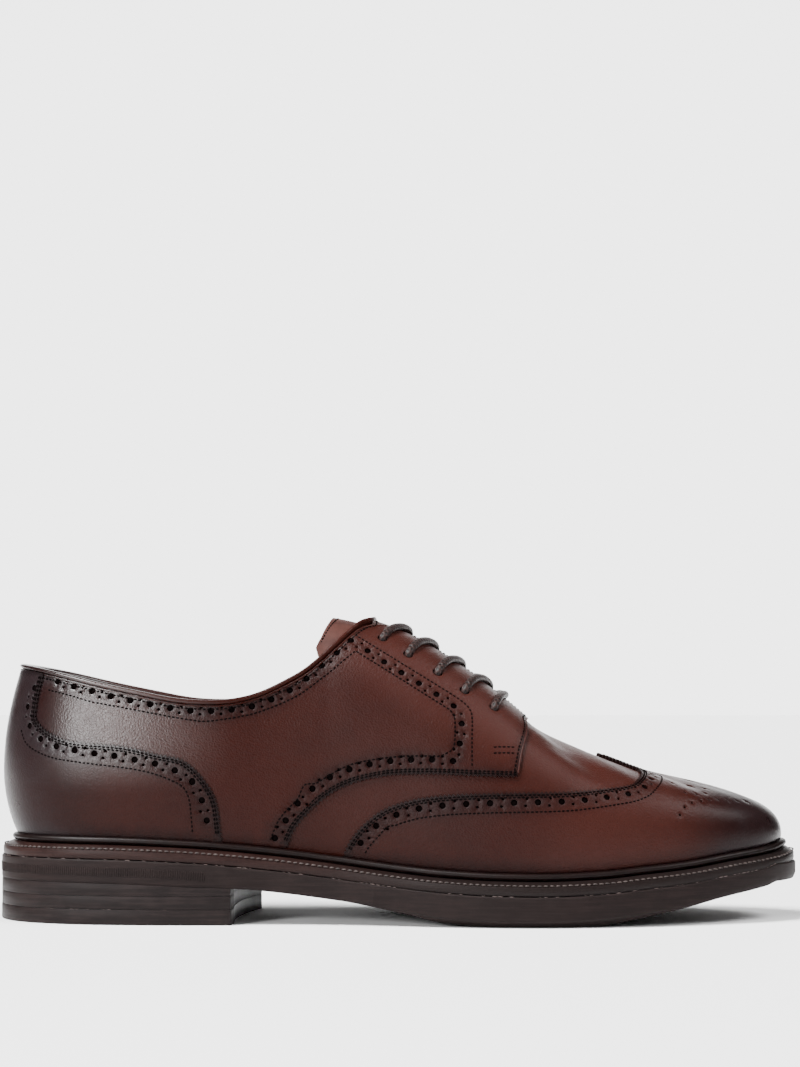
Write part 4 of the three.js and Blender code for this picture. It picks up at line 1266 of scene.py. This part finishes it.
weltTop = -2 * sole["gap"] - sole["beadHeight"]
weltEdgeTop = sole["weltEdge"] - randStack
weltSection = [
    (wallAt(-randStack), -randStack),
    (lambda turn: ledgeAt(turn) - 0.7, -randStack),
    (lambda turn: ledgeAt(turn) - 0.2, -randStack + 0.15),
    (ledgeAt, -randStack + 0.7),
    (ledgeAt, weltEdgeTop - 0.8),
    (lambda turn: ledgeAt(turn) - 0.25, weltEdgeTop - 0.2),
    (lambda turn: ledgeAt(turn) - 0.8, weltEdgeTop),
    (lambda turn: ledgeAt(turn) * 0.5 + 2.85, weltEdgeTop + 0.5),
    (wall["skin"] + sole["beadWidth"], weltTop),
    (wallAt(weltTop), weltTop),
]
addPiece(soleRing("welt_ring", weltSection), "welt", "welt_leather", "welt")


def treadStep(turns):
    return sole["treadInset"] * readTable(bottom, "tread", readColumn("along", rowOf(turns)))


# How far the sole's lower corner is rounded, more so at the toe
def toeRound(x):
    part = np.clip((x - 85) / 55, 0, 1)
    return 0.5 + 1.7 * part * part * (3 - 2 * part)


def roundedToe(turn, share):
    return soleOut(turn) - toeRound(planPoint(turn)[:, 0]) * (1 - share)


def aboveTread(x, rise):
    return np.maximum(edgeLevel(x), undersideLevel(x) + rise)


outsoleRings = [
    (lambda turn: roundedToe(turn, 0.0) - treadStep(turn), undersideLevel),
    (lambda turn: roundedToe(turn, 0.46) - treadStep(turn) * 0.9, lambda x: undersideLevel(x) + 0.25),
    (lambda turn: roundedToe(turn, 0.64), lambda x: aboveTread(x, 0.5)),
    (lambda turn: roundedToe(turn, 0.87), lambda x: aboveTread(x, 0.6) + toeRound(x) * 0.5),
    (soleOut, lambda x: aboveTread(x, 0.4) + toeRound(x)),
    (soleOut, lambda x: soleTop(x) - 0.5),
    (lambda turn: soleOut(turn) - 0.5, soleTop),
]
addPiece(solePlate("outsole_rubber", outsoleRings), "rubber", "sole_rubber", "outsole")


def insoleRing(out, height):
    return lambda turn: np.full(len(turn), out), lambda x: beadLevel(x) - randStack + height


insoleRings = [insoleRing(-3.6, 0.0), insoleRing(-3.3, 2.2), insoleRing(-3.8, 2.6)]
addPiece(solePlate("insole_sock", insoleRings), "lining", "lining_leather", "insole")
print("sole ready")


# Heel: three lifts with rounded edges, cut off by the hollow breast

heel = {
    "length": 94.4, "skew": 8.6, "round": 0.39, "hollow": 3.0, "topLift": 5.8, "lift": 5.0, "step": 0.12,
}
breastX = heelEnd - wall["skin"] - wall["cap"] - sole["weltLedge"] + heel["length"]


def breastAt(y):
    across = y / last["ballWidth"]
    return breastX + across * heel["skew"] - heel["hollow"] * np.maximum(0, 1 - (across / heel["round"]) ** 2)


def heelLoop(inset, count=220):
    turns = np.linspace(-0.16, 0.16, 1201)
    ring = outlinePoint(turns, soleOut(turns) - inset)
    ring = ring[ring[:, 0] < breastAt(ring[:, 1]) - inset]
    across = np.linspace(ring[-1, 1], ring[0, 1], 60)
    front = np.stack([breastAt(across) - inset, across], axis=-1)[1:-1]
    sides = evenly(ring, 1, count=count)[0]
    return np.concatenate([sides, front])


def flatAt(height):
    return lambda x: np.full(len(x), height)


def heelTop(x):
    return np.maximum(edgeLevel(x) + 0.2, heel["topLift"] + heel["lift"] + 0.6)


def heelLift(name, low, high, inset, node, rounding=0.2):
    rings = [
        (inset + 0.9, low, 0), (inset + rounding * 0.4, low, rounding * 0.35), (inset, low, rounding),
        (inset, high, -rounding * 0.7), (inset + rounding * 0.3, high, -rounding * 0.2),
        (inset + 0.8, high, 0),
    ]
    layers = []
    for reach, height, lift in rings:
        loop = heelLoop(reach)
        layers.append(np.concatenate([loop, (height(loop[:, 0]) + lift)[:, None]], axis=1))
    foot, top = (np.repeat(layer.mean(0)[None], len(layer), 0) for layer in (layers[0], layers[-1]))
    piece = loft(name, np.stack([foot, *layers, top], axis=1), (True, False), sharpAngle=40)
    closeSeams(piece)
    addPiece(piece, "heel", "sole_rubber", node)


firstLift, secondLift = heel["topLift"], heel["topLift"] + heel["lift"]
heelLift("top_lift_rubber", flatAt(0.0), flatAt(firstLift), 0.0, "top_lift", 0.35)
heelLift("heel_lift_lower_rubber", flatAt(firstLift), flatAt(secondLift), heel["step"], "heel_lift_lower")
heelLift("heel_lift_upper_rubber", flatAt(secondLift), heelTop, 0.1, "heel_lift_upper")
print("heel ready")


# Tongue with its lining

tongue = {
    "half": 25.5, "front": 0.68, "back": 0.41, "rounding": 3.5, "tuck": 14.0, "lean": 6.0, "lowest": 2.5,
}


# Spots under targets seen from above, on either side of the middle line
def spotsAbove(targets, middle, out, lowest):
    spots = np.zeros((len(targets), 2))
    for side in (-1, 1):
        chosen = (targets[:, 1] < middle) == (side < 0)
        if chosen.any():
            spots[chosen] = spotsSeen(side, targets[chosen], out, (0, 1), lowest)
    return spots


def tongueSheet(outer, inner, inset):
    back = float(stationX(tongue["back"])) + inset
    front = facing["front"] + tongue["tuck"] - inset
    along = np.concatenate([np.linspace(0, 0.15, 12), np.linspace(0.17, 1, 40)])
    across = np.linspace(-1, 1, 41)
    x = back + along[:, None] * (front - back) + 0 * across[None, :]
    depth = np.clip((x - back) / tongue["rounding"], 0, 1)
    corner = tongue["rounding"] * (1 - np.sqrt(1 - (1 - depth) ** 2))
    half = (tongue["half"] - inset) * (1 - (1 - tongue["front"]) * along[:, None]) - corner
    x = x - tongue["lean"] * across[None, :] ** 2 * (1 - along[:, None]) ** 2
    middle = readColumn("swing", crestRowAt(x)) * last["ballWidth"]
    y = across[None, :] * half
    targets = np.stack([x, y], axis=-1).reshape(-1, 2)
    spots = spotsAbove(targets, middle.ravel(), outer, tongue["lowest"])
    return [formPoint(*spots.T, out).reshape(len(along), len(across), 3) for out in (outer, inner)]


def tonguePiece(name, outer, inner, inset, finish, slot, *nodes):
    top, under = tongueSheet(outer, inner, inset)
    section = np.concatenate([top, under[:, ::-1]], axis=1)
    middles = [(top[index] + under[index]) / 2 for index in (0, -1)]
    ends = [np.concatenate([middle, middle[::-1]])[None] for middle in middles]
    points = np.concatenate([ends[0], section, ends[1]])
    piece = loft(name, points, (False, True), sharpAngle=50)
    closeSeams(piece)
    addPiece(piece, finish, slot, *nodes)


tongueFace = tongueSheet(0.02, -1.0, 2.0)[0]
tonguePiece("tongue_leather", 0.0, -1.3, 0.0, "tongue", "burnished_leather", "tongue")
tonguePiece("tongue_lining", -1.35, -2.5, 0.4, "lining", "lining_leather")
print("tongue ready")


# Rolled binding around the collar

def crestTurnAt(x):
    rows = np.linspace(crestColumn - 0.99, lastColumn, 2000)
    return rows[np.searchsorted(stationX(readColumn("topAlong", rows)), x)] / lastColumn / 2


def collarSpots(depth, out):
    def isCut(points):
        return points[:, 2] > collarHeight(np.minimum(points[:, 0], collarFront[0])) + collarRim - depth

    farthest = crestTurnAt(collarFront[0] - 1.5)
    turns = np.linspace(-farthest, farthest, 420)
    return np.stack([turns, climbUntil(turns, out, isCut)[0]], axis=-1)


# A round or flattened roll along a line, with its ends rounded off
def sweep(name, points, sides, width, height, up, roundEnds=3):
    way = unit(np.gradient(points, axis=0))
    aside = unit(np.cross(way, up))
    above = np.cross(aside, way)
    angles = np.linspace(0, 2 * math.pi, sides, endpoint=False) - math.pi / 2
    rings = []
    for index, point in enumerate(points):
        across = np.cos(angles)[:, None] * aside[index] * width[index]
        rings.append(point + across + np.sin(angles)[:, None] * above[index] * height[index])
    ends = []
    for index, sign in ((0, -1), (-1, 1)):
        caps = []
        for step in range(1, roundEnds + 1):
            angle = step / roundEnds * math.pi / 2
            ahead = way[index] * sign * math.sin(angle) * height[index]
            caps.append(points[index] + (rings[index] - points[index]) * max(math.cos(angle), 1e-6) + ahead)
        ends.append(caps)
    rows = np.stack([*ends[0][::-1], *rings, *ends[1]])
    piece = loft(name, rows, (False, True))
    middles = rows.mean(1)
    reach = np.concatenate([[0], np.cumsum(np.linalg.norm(np.diff(middles, axis=0), axis=1))])
    paintAttribute(piece, "reach", np.repeat(reach, sides))
    paintAttribute(piece, "angle", np.tile(angles, len(rows)))
    closeSeams(piece)
    return piece


collarPath = collarSpots(binding["radius"], binding["middle"])
heelShare = np.clip(1.6 - np.abs(collarPath[:, 0]) / 0.03, 0, 1)
middleOut = binding["middle"] + heelShare * (binding["heelMiddle"] - binding["middle"])
collarPoints = formPoint(*collarPath.T, middleOut)
collarUp = unit(np.cross(normalAt(*collarPath.T), unit(np.gradient(collarPoints, axis=0))))
reaches = binding["reach"] + heelShare * (binding["heelReach"] - binding["reach"])
heights = np.full(len(collarPoints), binding["radius"])
bindingPiece = sweep("topline_binding_leather", collarPoints, 16, reaches, heights, collarUp)
addPiece(bindingPiece, "binding", "binding_leather", "topline_binding")
foldPath = collarSpots(binding["radius"] * 2 + binding["fold"] / 2, quarterOut)
foldOut = quarterOut - 0.1 + np.clip(1.45 - np.abs(foldPath[:, 0]) / 0.018, 0, 1) * (counterOut - quarterOut)
foldPoints = formPoint(*foldPath.T, foldOut)
foldWidth = np.full(len(foldPoints), binding["fold"])
foldPiece = sweep("topline_fold_leather", foldPoints, 8, foldWidth, foldWidth, normalAt(*foldPath.T))
addPiece(foldPiece, "binding", "binding_leather")

# A thin roll along each facing's front edge, coloured lighter than the leather as a painted highlight on the
# fold
facingFoldHighlight = {"radius": 0.42, "sunk": 0.45}
for side, name in sides:
    edgeSpots = onSide(side, smoothed(frontSpots[2:], 7))
    edgePoints = formPoint(*edgeSpots.T, quarterOut - facingFoldHighlight["sunk"])
    edgeWidth = np.full(len(edgePoints), facingFoldHighlight["radius"])
    edgePiece = sweep("facing_edge_" + name, edgePoints, 8, edgeWidth, edgeWidth, normalAt(*edgeSpots.T))
    addPiece(edgePiece, "facingFoldHighlight", "burnished_leather")
print("binding ready")


# Laces: a bar at the front and four crossings, each led down into its eyelets

lace = {"radius": 1.6, "sides": 16, "steps": 90, "bow": 4.3, "flattest": 0.372, "middleColumn": 10.0}
# Share of the way across, height over the last, share of full roundness
overPath = [
    (0, -0.6, 0.4), (0, 1.2, 1), (0.015, 3.2, 0.95), (0.07, 4.1, 0.9), (0.17, 4.3, 0.9),
    (0.29, 4.35, 0.9), (0.4, 4.3, 0.9), (0.5, 3.9, 0.9), (0.6, 2.6, 0.9), (0.68, 0.9, 0.8),
    (0.75, -0.5, 0.45), (0.87, -0.6, 0.4), (1, -0.6, 0.4),
]
underPath = [
    (0, -0.6, 0.4), (0, 1.2, 1), (0.015, 3.2, 0.95), (0.07, 4.1, 0.9), (0.17, 4.3, 0.9),
    (0.28, 4.25, 0.9), (0.36, 3.5, 0.9), (0.43, 1.9, 0.9), (0.5, 0.8, 0.9), (0.6, 0.6, 0.85),
    (0.68, 0.1, 0.7), (0.75, -0.5, 0.45), (0.87, -0.6, 0.4), (1, -0.6, 0.4),
]
barHalf = overPath[:7] + [(0.5, 4.6, 0.9)]
barPath = barHalf + [(1 - share, out, full) for share, out, full in barHalf[-2::-1]]


def laceStrand(name, first, firstSide, second, secondSide, table):
    ends = [formPoint(*onSide(side, eyelets[index:index + 1]).T, quarterOut)[0, :2]
            for index, side in ((first, firstSide), (second, secondSide))]
    shares, outs, fulls = np.array(table).T
    targets = ends[0] + (ends[1] - ends[0]) * shares[:, None]
    targets[:, 0] += lace["bow"] * np.sin(math.pi * shares)
    middle = readColumn("swing", np.array([lace["middleColumn"]])) * last["ballWidth"]
    spots = spotsAbove(targets, middle, quarterOut, 1.5)
    route = splineThrough(formPoint(*spots.T, outs), 400)
    ups = unit(splineThrough(normalAt(*spots.T), 400))
    path, upward, full = evenly(route, 1, ups, splineThrough(fulls[:, None], 400), count=lace["steps"])
    height = lace["radius"] * np.clip(full[:, 0], lace["flattest"], 1)
    return sweep(name, path, lace["sides"], np.full(len(path), lace["radius"]), height, unit(upward))


addPiece(laceStrand("lace_bar", 4, -1, 4, 1, barPath), "lace", "lace_cord", "laces")
for index in range(4):
    for side, name in sides:
        route = overPath if side < 0 else underPath
        piece = laceStrand(f"lace_{name}_{index + 1}", index, side, index + 1, -side, route)
        addPiece(piece, "lace", "lace_cord")
print("laces ready")


# Small repeats by Geometry Nodes: points carry their direction, outward normal and size

def repeatTree(name):
    tree = bpy.data.node_groups.new(name, "GeometryNodeTree")
    tree.interface.new_socket("Geometry", in_out="INPUT", socket_type="NodeSocketGeometry")
    for label, kind in (("Piece", "Object"), ("Finish", "Material"), ("Size", "Float")):
        tree.interface.new_socket(label, in_out="INPUT", socket_type="NodeSocket" + kind)
    tree.interface.new_socket("Geometry", in_out="OUTPUT", socket_type="NodeSocketGeometry")

    def node(kind, settings, values):
        made = tree.nodes.new(kind)
        for key, value in settings.items():
            setattr(made, key, value)
        for key, value in values.items():
            plug(tree, made.inputs[key], value)
        return made

    def output(made, key):
        return Wire(tree, made.outputs[key])

    def named(label, kind):
        made = node("GeometryNodeInputNamedAttribute", {"data_type": kind}, {"Name": label})
        return output(made, "Attribute")

    entry = node("NodeGroupInput", {}, {})
    info = node("GeometryNodeObjectInfo", {}, {"Object": output(entry, "Piece")})
    turned = node(
        "FunctionNodeAlignRotationToVector", {"axis": "Z"}, {"Vector": named("outward", "FLOAT_VECTOR")},
    )
    aimed = node("FunctionNodeAlignRotationToVector", {"axis": "X", "pivot_axis": "Z"}, {
        "Rotation": output(turned, "Rotation"), "Vector": named("ahead", "FLOAT_VECTOR"),
    })
    spread = node("GeometryNodeInstanceOnPoints", {}, {
        "Points": output(entry, "Geometry"), "Instance": output(info, "Geometry"),
        "Rotation": output(aimed, "Rotation"), "Scale": named("size", "FLOAT") * output(entry, "Size"),
    })
    real = node("GeometryNodeRealizeInstances", {}, {"Geometry": output(spread, "Instances")})
    painted = node("GeometryNodeSetMaterial", {}, {
        "Geometry": output(real, "Geometry"), "Material": output(entry, "Finish"),
    })
    node("NodeGroupOutput", {}, {"Geometry": output(painted, "Geometry")})
    return tree


repeater = repeatTree("repeat_on_points")


def repeatPiece(name, shape, points, ahead, outward, sizes, finish, slot, size=1.0):
    mesh = bpy.data.meshes.new(name + "_points")
    placed = (np.asarray(points) + shift) * metre
    mesh.from_pydata(placed.tolist(), [], [])
    for label, values in (("ahead", ahead), ("outward", outward)):
        layer = mesh.attributes.new(label, "FLOAT_VECTOR", "POINT")
        layer.data.foreach_set("vector", np.asarray(values, float).ravel())
    layer = mesh.attributes.new("size", "FLOAT", "POINT")
    layer.data.foreach_set("value", np.asarray(sizes, float))
    holder = bpy.data.objects.new(name + "_source", mesh)
    bpy.context.scene.collection.objects.link(holder)
    modifier = holder.modifiers.new("repeat", "NODES")
    modifier.node_group = repeater
    sockets = {item.name: item.identifier for item in repeater.interface.items_tree if item.in_out == "INPUT"}
    modifier[sockets["Piece"]] = shape
    modifier[sockets["Finish"]] = finishes[finish]
    modifier[sockets["Size"]] = size
    bpy.context.view_layer.update()
    graph = bpy.context.evaluated_depsgraph_get()
    real = bpy.data.meshes.new_from_object(holder.evaluated_get(graph))
    bpy.data.objects.remove(holder)
    real.name = name
    piece = bpy.data.objects.new(name, real)
    bpy.context.scene.collection.objects.link(piece)
    real.materials.clear()
    return addPiece(piece, finish, slot)


def shapeObject(name, points):
    rows, sides = points.shape[:2]
    mesh = bpy.data.meshes.new(name)
    starts = [(i * sides, j, (j + 1) % sides) for i in range(rows - 1) for j in range(sides)]
    faces = [(row + j, row + sides + j, row + sides + after, row + after) for row, j, after in starts]
    mesh.from_pydata((points.reshape(-1, 3) * metre).tolist(), [], faces)
    mesh.update()
    mesh.polygons.foreach_set("use_smooth", [True] * len(mesh.polygons))
    shape = bpy.data.objects.new(name, mesh)
    bpy.context.scene.collection.objects.link(shape)
    closeSeams(shape)
    shape.hide_render = True
    shape.hide_viewport = True
    return shape


def threadShape(name, length, radius, sides=6):
    rings = []
    angles = np.linspace(0, 2 * math.pi, sides, endpoint=False)
    for along, swell in ((-0.5, 0.0), (-0.46, 0.55), (-0.2, 1.0), (0.2, 1.0), (0.46, 0.55), (0.5, 0.0)):
        ring = np.stack([np.full(sides, along * length), np.cos(angles) * radius * swell,
                         np.sin(angles) * radius * swell - abs(along) * radius * 0.9], axis=-1)
        rings.append(ring)
    return shapeObject(name, np.array(rings))


def shadeDiscShape(name, sides=12):
    rings = []
    angles = np.linspace(0, 2 * math.pi, sides, endpoint=False)
    for radius, height in ((0.0, 0.0), (1.12, 0.0), (1.12, -0.35), (0.0, -0.35)):
        ring = [np.cos(angles) * radius, np.sin(angles) * radius, np.full(sides, height)]
        rings.append(np.stack(ring, axis=-1))
    return shapeObject(name, np.array(rings)[::-1])


stitch = {"length": 1.3, "radius": 0.33, "pitch": 1.65}
fineThread = threadShape("thread_fine", stitch["length"], stitch["radius"])
# Painted shade: a near-black disc set into each hole
holeShadeDisc = shadeDiscShape("hole_floor_shape")
places, normals, radii = (np.concatenate(parts) for parts in zip(*holeShadeDiscs))
aside = np.cross(normals, (0.3, 0.2, 1.0))
repeatPiece("perforation_floors", holeShadeDisc, places, aside, normals, radii, "hole", "dark_leather")


def stitchRow(line, out):
    even = evenSpots(line, stitch["pitch"], out)
    points, way, _, up = frameAlong(even, out)
    middles = (points[1:] + points[:-1]) / 2
    return middles, unit(way[1:] + way[:-1]), unit(up[1:] + up[:-1])


def offsetRows(line, distances, out, inward):
    return [shiftedLine(line, distance * inward, out) for distance in distances]


quarterRows = offsetRows(quarterSpots, (0.9, 1.75), quarterOut, 1)
quarterRows.append(seenLine(facingStitch, quarterOut))
quarterRows.append(seenLine(stripStitch, quarterOut))
innerRow = seenLine(facingInner, quarterOut)
lowerRow = shiftedLine(smoothed(quarterSpots, 9), 6.7, quarterOut)[::-1]
lowerRow = smoothed(lowerRow, 9)
lowerRow = lowerRow[lowerRow[:, 0] < innerRow[-1, 0] - 0.003]
quarterRows.append(evenSpots(np.concatenate([innerRow, lowerRow]), 1.0, quarterOut))
quarterRows += [evenSpots(np.array(row), 1.0, quarterOut) for row in barTack]
quarterRows.append(shiftedLine(frontSpots, 1.4, quarterOut))
throatRow = quarterTop[quarterTop[:, 0] > crestTurnAt(collarFront[0]) + 0.004]
quarterRows.append(shiftedLine(evenSpots(throatRow, 1.0, quarterOut), -1.4, quarterOut))
collarRow = quarterTop[(quarterTop[:, 0] > 0.045) & (quarterTop[:, 0] < crestTurnAt(collarFront[0]) - 0.004)]
quarterRows.append(shiftedLine(evenSpots(collarRow, 1.0, quarterOut), -1.7, quarterOut))
wingRows = offsetRows(wingEdge, (0.9, 1.75), panelOut["wing"], -1)
wingRows.append(shiftedLine(wingEdge, -2 * stripDistance, panelOut["wing"]))
counterRows = offsetRows(counterEdge, (0.9, 1.75), counterOut, -1)
counterRows.append(seenLine(counterStitch, counterOut))
tongueRow = evenly(tongueFace[0], stitch["pitch"])[0]
tongueWay = unit(np.gradient(tongueRow, axis=0))
tongueUp = unit(np.cross(tongueWay, (-1.0, 0.0, 0.3)))
tongueUp = tongueUp * np.sign(tongueUp[:, 2:])
sizes = np.ones(len(tongueRow))
repeatPiece("stitches_tongue", fineThread, tongueRow, tongueWay, tongueUp, sizes, "thread", "dark_leather")
for side, name in sides:
    parts = []
    for rows, out in ((quarterRows, quarterOut), (wingRows, panelOut["wing"]), (counterRows, counterOut)):
        for row in rows:
            row = row[(row[:, 1] > 1.12) & (row[:, 1] < 2.995)]
            parts.append(stitchRow(onSide(side, row), out + 0.02))
    points, ahead, outward = (np.concatenate(values) for values in zip(*parts))
    sizes = np.ones(len(points))
    repeatPiece("stitches_" + name, fineThread, points, ahead, outward, sizes, "thread", "dark_leather")

weltStitch = {"length": 1.75, "radius": 0.32, "pitch": 2.3, "proud": 0.36}
weltThread = threadShape("thread_welt", weltStitch["length"], weltStitch["radius"])
weltTurns = np.linspace(0, 1, 2001)
weltPoints = outlinePoint(weltTurns, ledgeAt(weltTurns) * 0.5 + 4.1)
weltHeight = beadLevel(planPoint(weltTurns)[:, 0]) + weltEdgeTop + weltStitch["proud"]
weltPoints = evenly(np.concatenate([weltPoints, weltHeight[:, None]], axis=1), weltStitch["pitch"])[0]
weltWay = unit(np.gradient(weltPoints, axis=0))
upright, sizes = np.tile([0.0, 0.0, 1.0], (len(weltPoints), 1)), np.ones(len(weltPoints))
repeatPiece("welt_stitches", weltThread, weltPoints, weltWay, upright, sizes, "weltThread", "welt_leather")

# Upright ribs on the sole's edge around the heel
ribs = {"pitch": 0.85, "width": 0.4, "height": 3.6, "proud": 0.16, "drop": 4.4, "reach": 0.14}
ribAngles = np.linspace(0, 2 * math.pi, 6, endpoint=False)
ribShape = shapeObject("rib_shape", np.array([
    np.stack([np.cos(ribAngles) * ribs["width"] / 2 * full, np.full(6, along * ribs["height"]),
              np.sin(ribAngles) * ribs["proud"] * full], axis=-1)
    for along, full in ((0.5, 0.0), (0.44, 1.0), (-0.44, 1.0), (-0.5, 0.0))
]))


def aroundSole(start, end, out, height, pitch):
    turns = np.linspace(start, end, 1501)
    plan = outlinePoint(turns, out(turns))
    points = np.concatenate([plan, height(plan[:, 0])[:, None]], axis=1)
    sideways = np.concatenate([planNormal(turns), np.zeros((len(turns), 1))], axis=1)
    points, sideways = evenly(points, pitch, sideways)
    return points, unit(np.gradient(points, axis=0)), unit(sideways)


ribPoints, ribWay, ribOut = aroundSole(
    -ribs["reach"], ribs["reach"], soleOut, lambda x: soleTop(x) - ribs["drop"], ribs["pitch"],
)
sizes = np.ones(len(ribPoints))
repeatPiece("sole_ribs", ribShape, ribPoints, ribWay, ribOut, sizes, "rubber", "sole_rubber")

# Light flecks along the seams of welt, sole and top lift
fleck = {"length": 1.7, "radius": 0.14, "pitch": 2.1, "share": 0.45, "heelReach": 0.128, "seed": 7}
fleckShape = threadShape("fleck_shape", fleck["length"], fleck["radius"])
weltSeam = aroundSole(
    0.0, 1.0, lambda turn: soleOut(turn) - 0.42, lambda x: soleTop(x) + 0.12, fleck["pitch"],
)
liftSeam = aroundSole(
    -fleck["heelReach"], fleck["heelReach"], lambda turn: soleOut(turn) - 0.25, flatAt(firstLift),
    fleck["pitch"],
)
dice = np.random.RandomState(fleck["seed"])
seams = [np.concatenate(values) for values in zip(weltSeam, liftSeam)]
chosen = dice.rand(len(seams[0])) < fleck["share"]
fleckSizes = dice.uniform(0.45, 1.15, chosen.sum())
seams = [values[chosen] for values in seams]
repeatPiece("seam_flecks", fleckShape, *seams, fleckSizes, "fleck", "sole_rubber")
for shape in (fineThread, holeShadeDisc, weltThread, ribShape, fleckShape):
    bpy.data.objects.remove(shape)
print("stitches ready")


# Camera, floor and light

view = {"place": (0.0003, -0.9987, 0.0908), "tilt": 91.17, "lens": 115.7, "rise": 0.12}
camera = bpy.data.objects.new("camera", bpy.data.cameras.new("camera"))
bpy.context.scene.collection.objects.link(camera)
camera.data.sensor_fit = "HORIZONTAL"
camera.data.sensor_width = 36.0
camera.data.lens = view["lens"]
camera.data.clip_start, camera.data.clip_end = 0.01, 20.0
camera.location = view["place"]
camera.rotation_euler = (math.radians(view["tilt"]), 0, 0)
camera.data.shift_y = view["rise"]
bpy.context.scene.camera = camera

floorMesh = bpy.data.meshes.new("floor")
floorHalf = 6.0
floorCorners = [(x * floorHalf, y * floorHalf, 0) for x, y in ((-1, -1), (1, -1), (1, 1), (-1, 1))]
floorMesh.from_pydata(floorCorners, [], [(0, 1, 2, 3)])
floor = bpy.data.objects.new("floor", floorMesh)
bpy.context.scene.collection.objects.link(floor)
floorFinish = Finish("floor_plain")
floorFinish.set(Base_Color=(0.95, 0.95, 0.95), Roughness=1.0, Specular_IOR_Level=0.0)
floorMesh.materials.append(floorFinish.material)

# The room is white behind the shoe and dark elsewhere
room = {"front": 0.04, "back": 4.0, "from": 0.78, "to": 0.97}
world = bpy.data.worlds.new("studio")
bpy.context.scene.world = world
world.use_nodes = True
roomTree = world.node_tree
roomPlace = Wire(roomTree, roomTree.nodes.new("ShaderNodeTexCoord").outputs["Generated"])
roomParts = roomTree.nodes.new("ShaderNodeSeparateXYZ")
plug(roomTree, roomParts.inputs[0], roomPlace)
behind = Wire(roomTree, roomParts.outputs[1]).smooth(room["from"], room["to"])
backdrop = roomTree.nodes["Background"]
plug(roomTree, backdrop.inputs["Strength"], behind * (room["back"] - room["front"]) + room["front"])
backdrop.inputs["Color"].default_value = (1.0, 1.0, 1.0, 1.0)


def setUp(light, place, turn):
    lamp = bpy.data.objects.new(light.name, light)
    lamp.location = place
    lamp.rotation_euler = turn.to_euler()
    bpy.context.scene.collection.objects.link(lamp)


def skyLight(name, towards, strength, spread):
    light = bpy.data.lights.new(name, "SUN")
    light.energy = strength
    light.angle = math.radians(spread)
    setUp(light, towards, Vector(towards).to_track_quat("Z", "Y"))


def softBox(name, place, aim, width, height, power):
    light = bpy.data.lights.new(name, "AREA")
    light.shape = "RECTANGLE"
    light.size, light.size_y = width, height
    light.energy = power
    setUp(light, place, (Vector(aim) - Vector(place)).to_track_quat("-Z", "Y"))


# Wide and soft from above, one for the toe, and a low box beside the heel
skyLight("high_light", (-0.46, -0.26, 0.85), 10.5, 26)
skyLight("toe_light", (0.62, -0.15, 0.77), 3.0, 30)
skyLight("front_light", (0.25, -0.8, 0.55), 0.5, 60)
softBox("heel_light", (-0.86, -1.2, 0.42), (-0.12, 0, 0.09), 0.36, 0.3, 23)
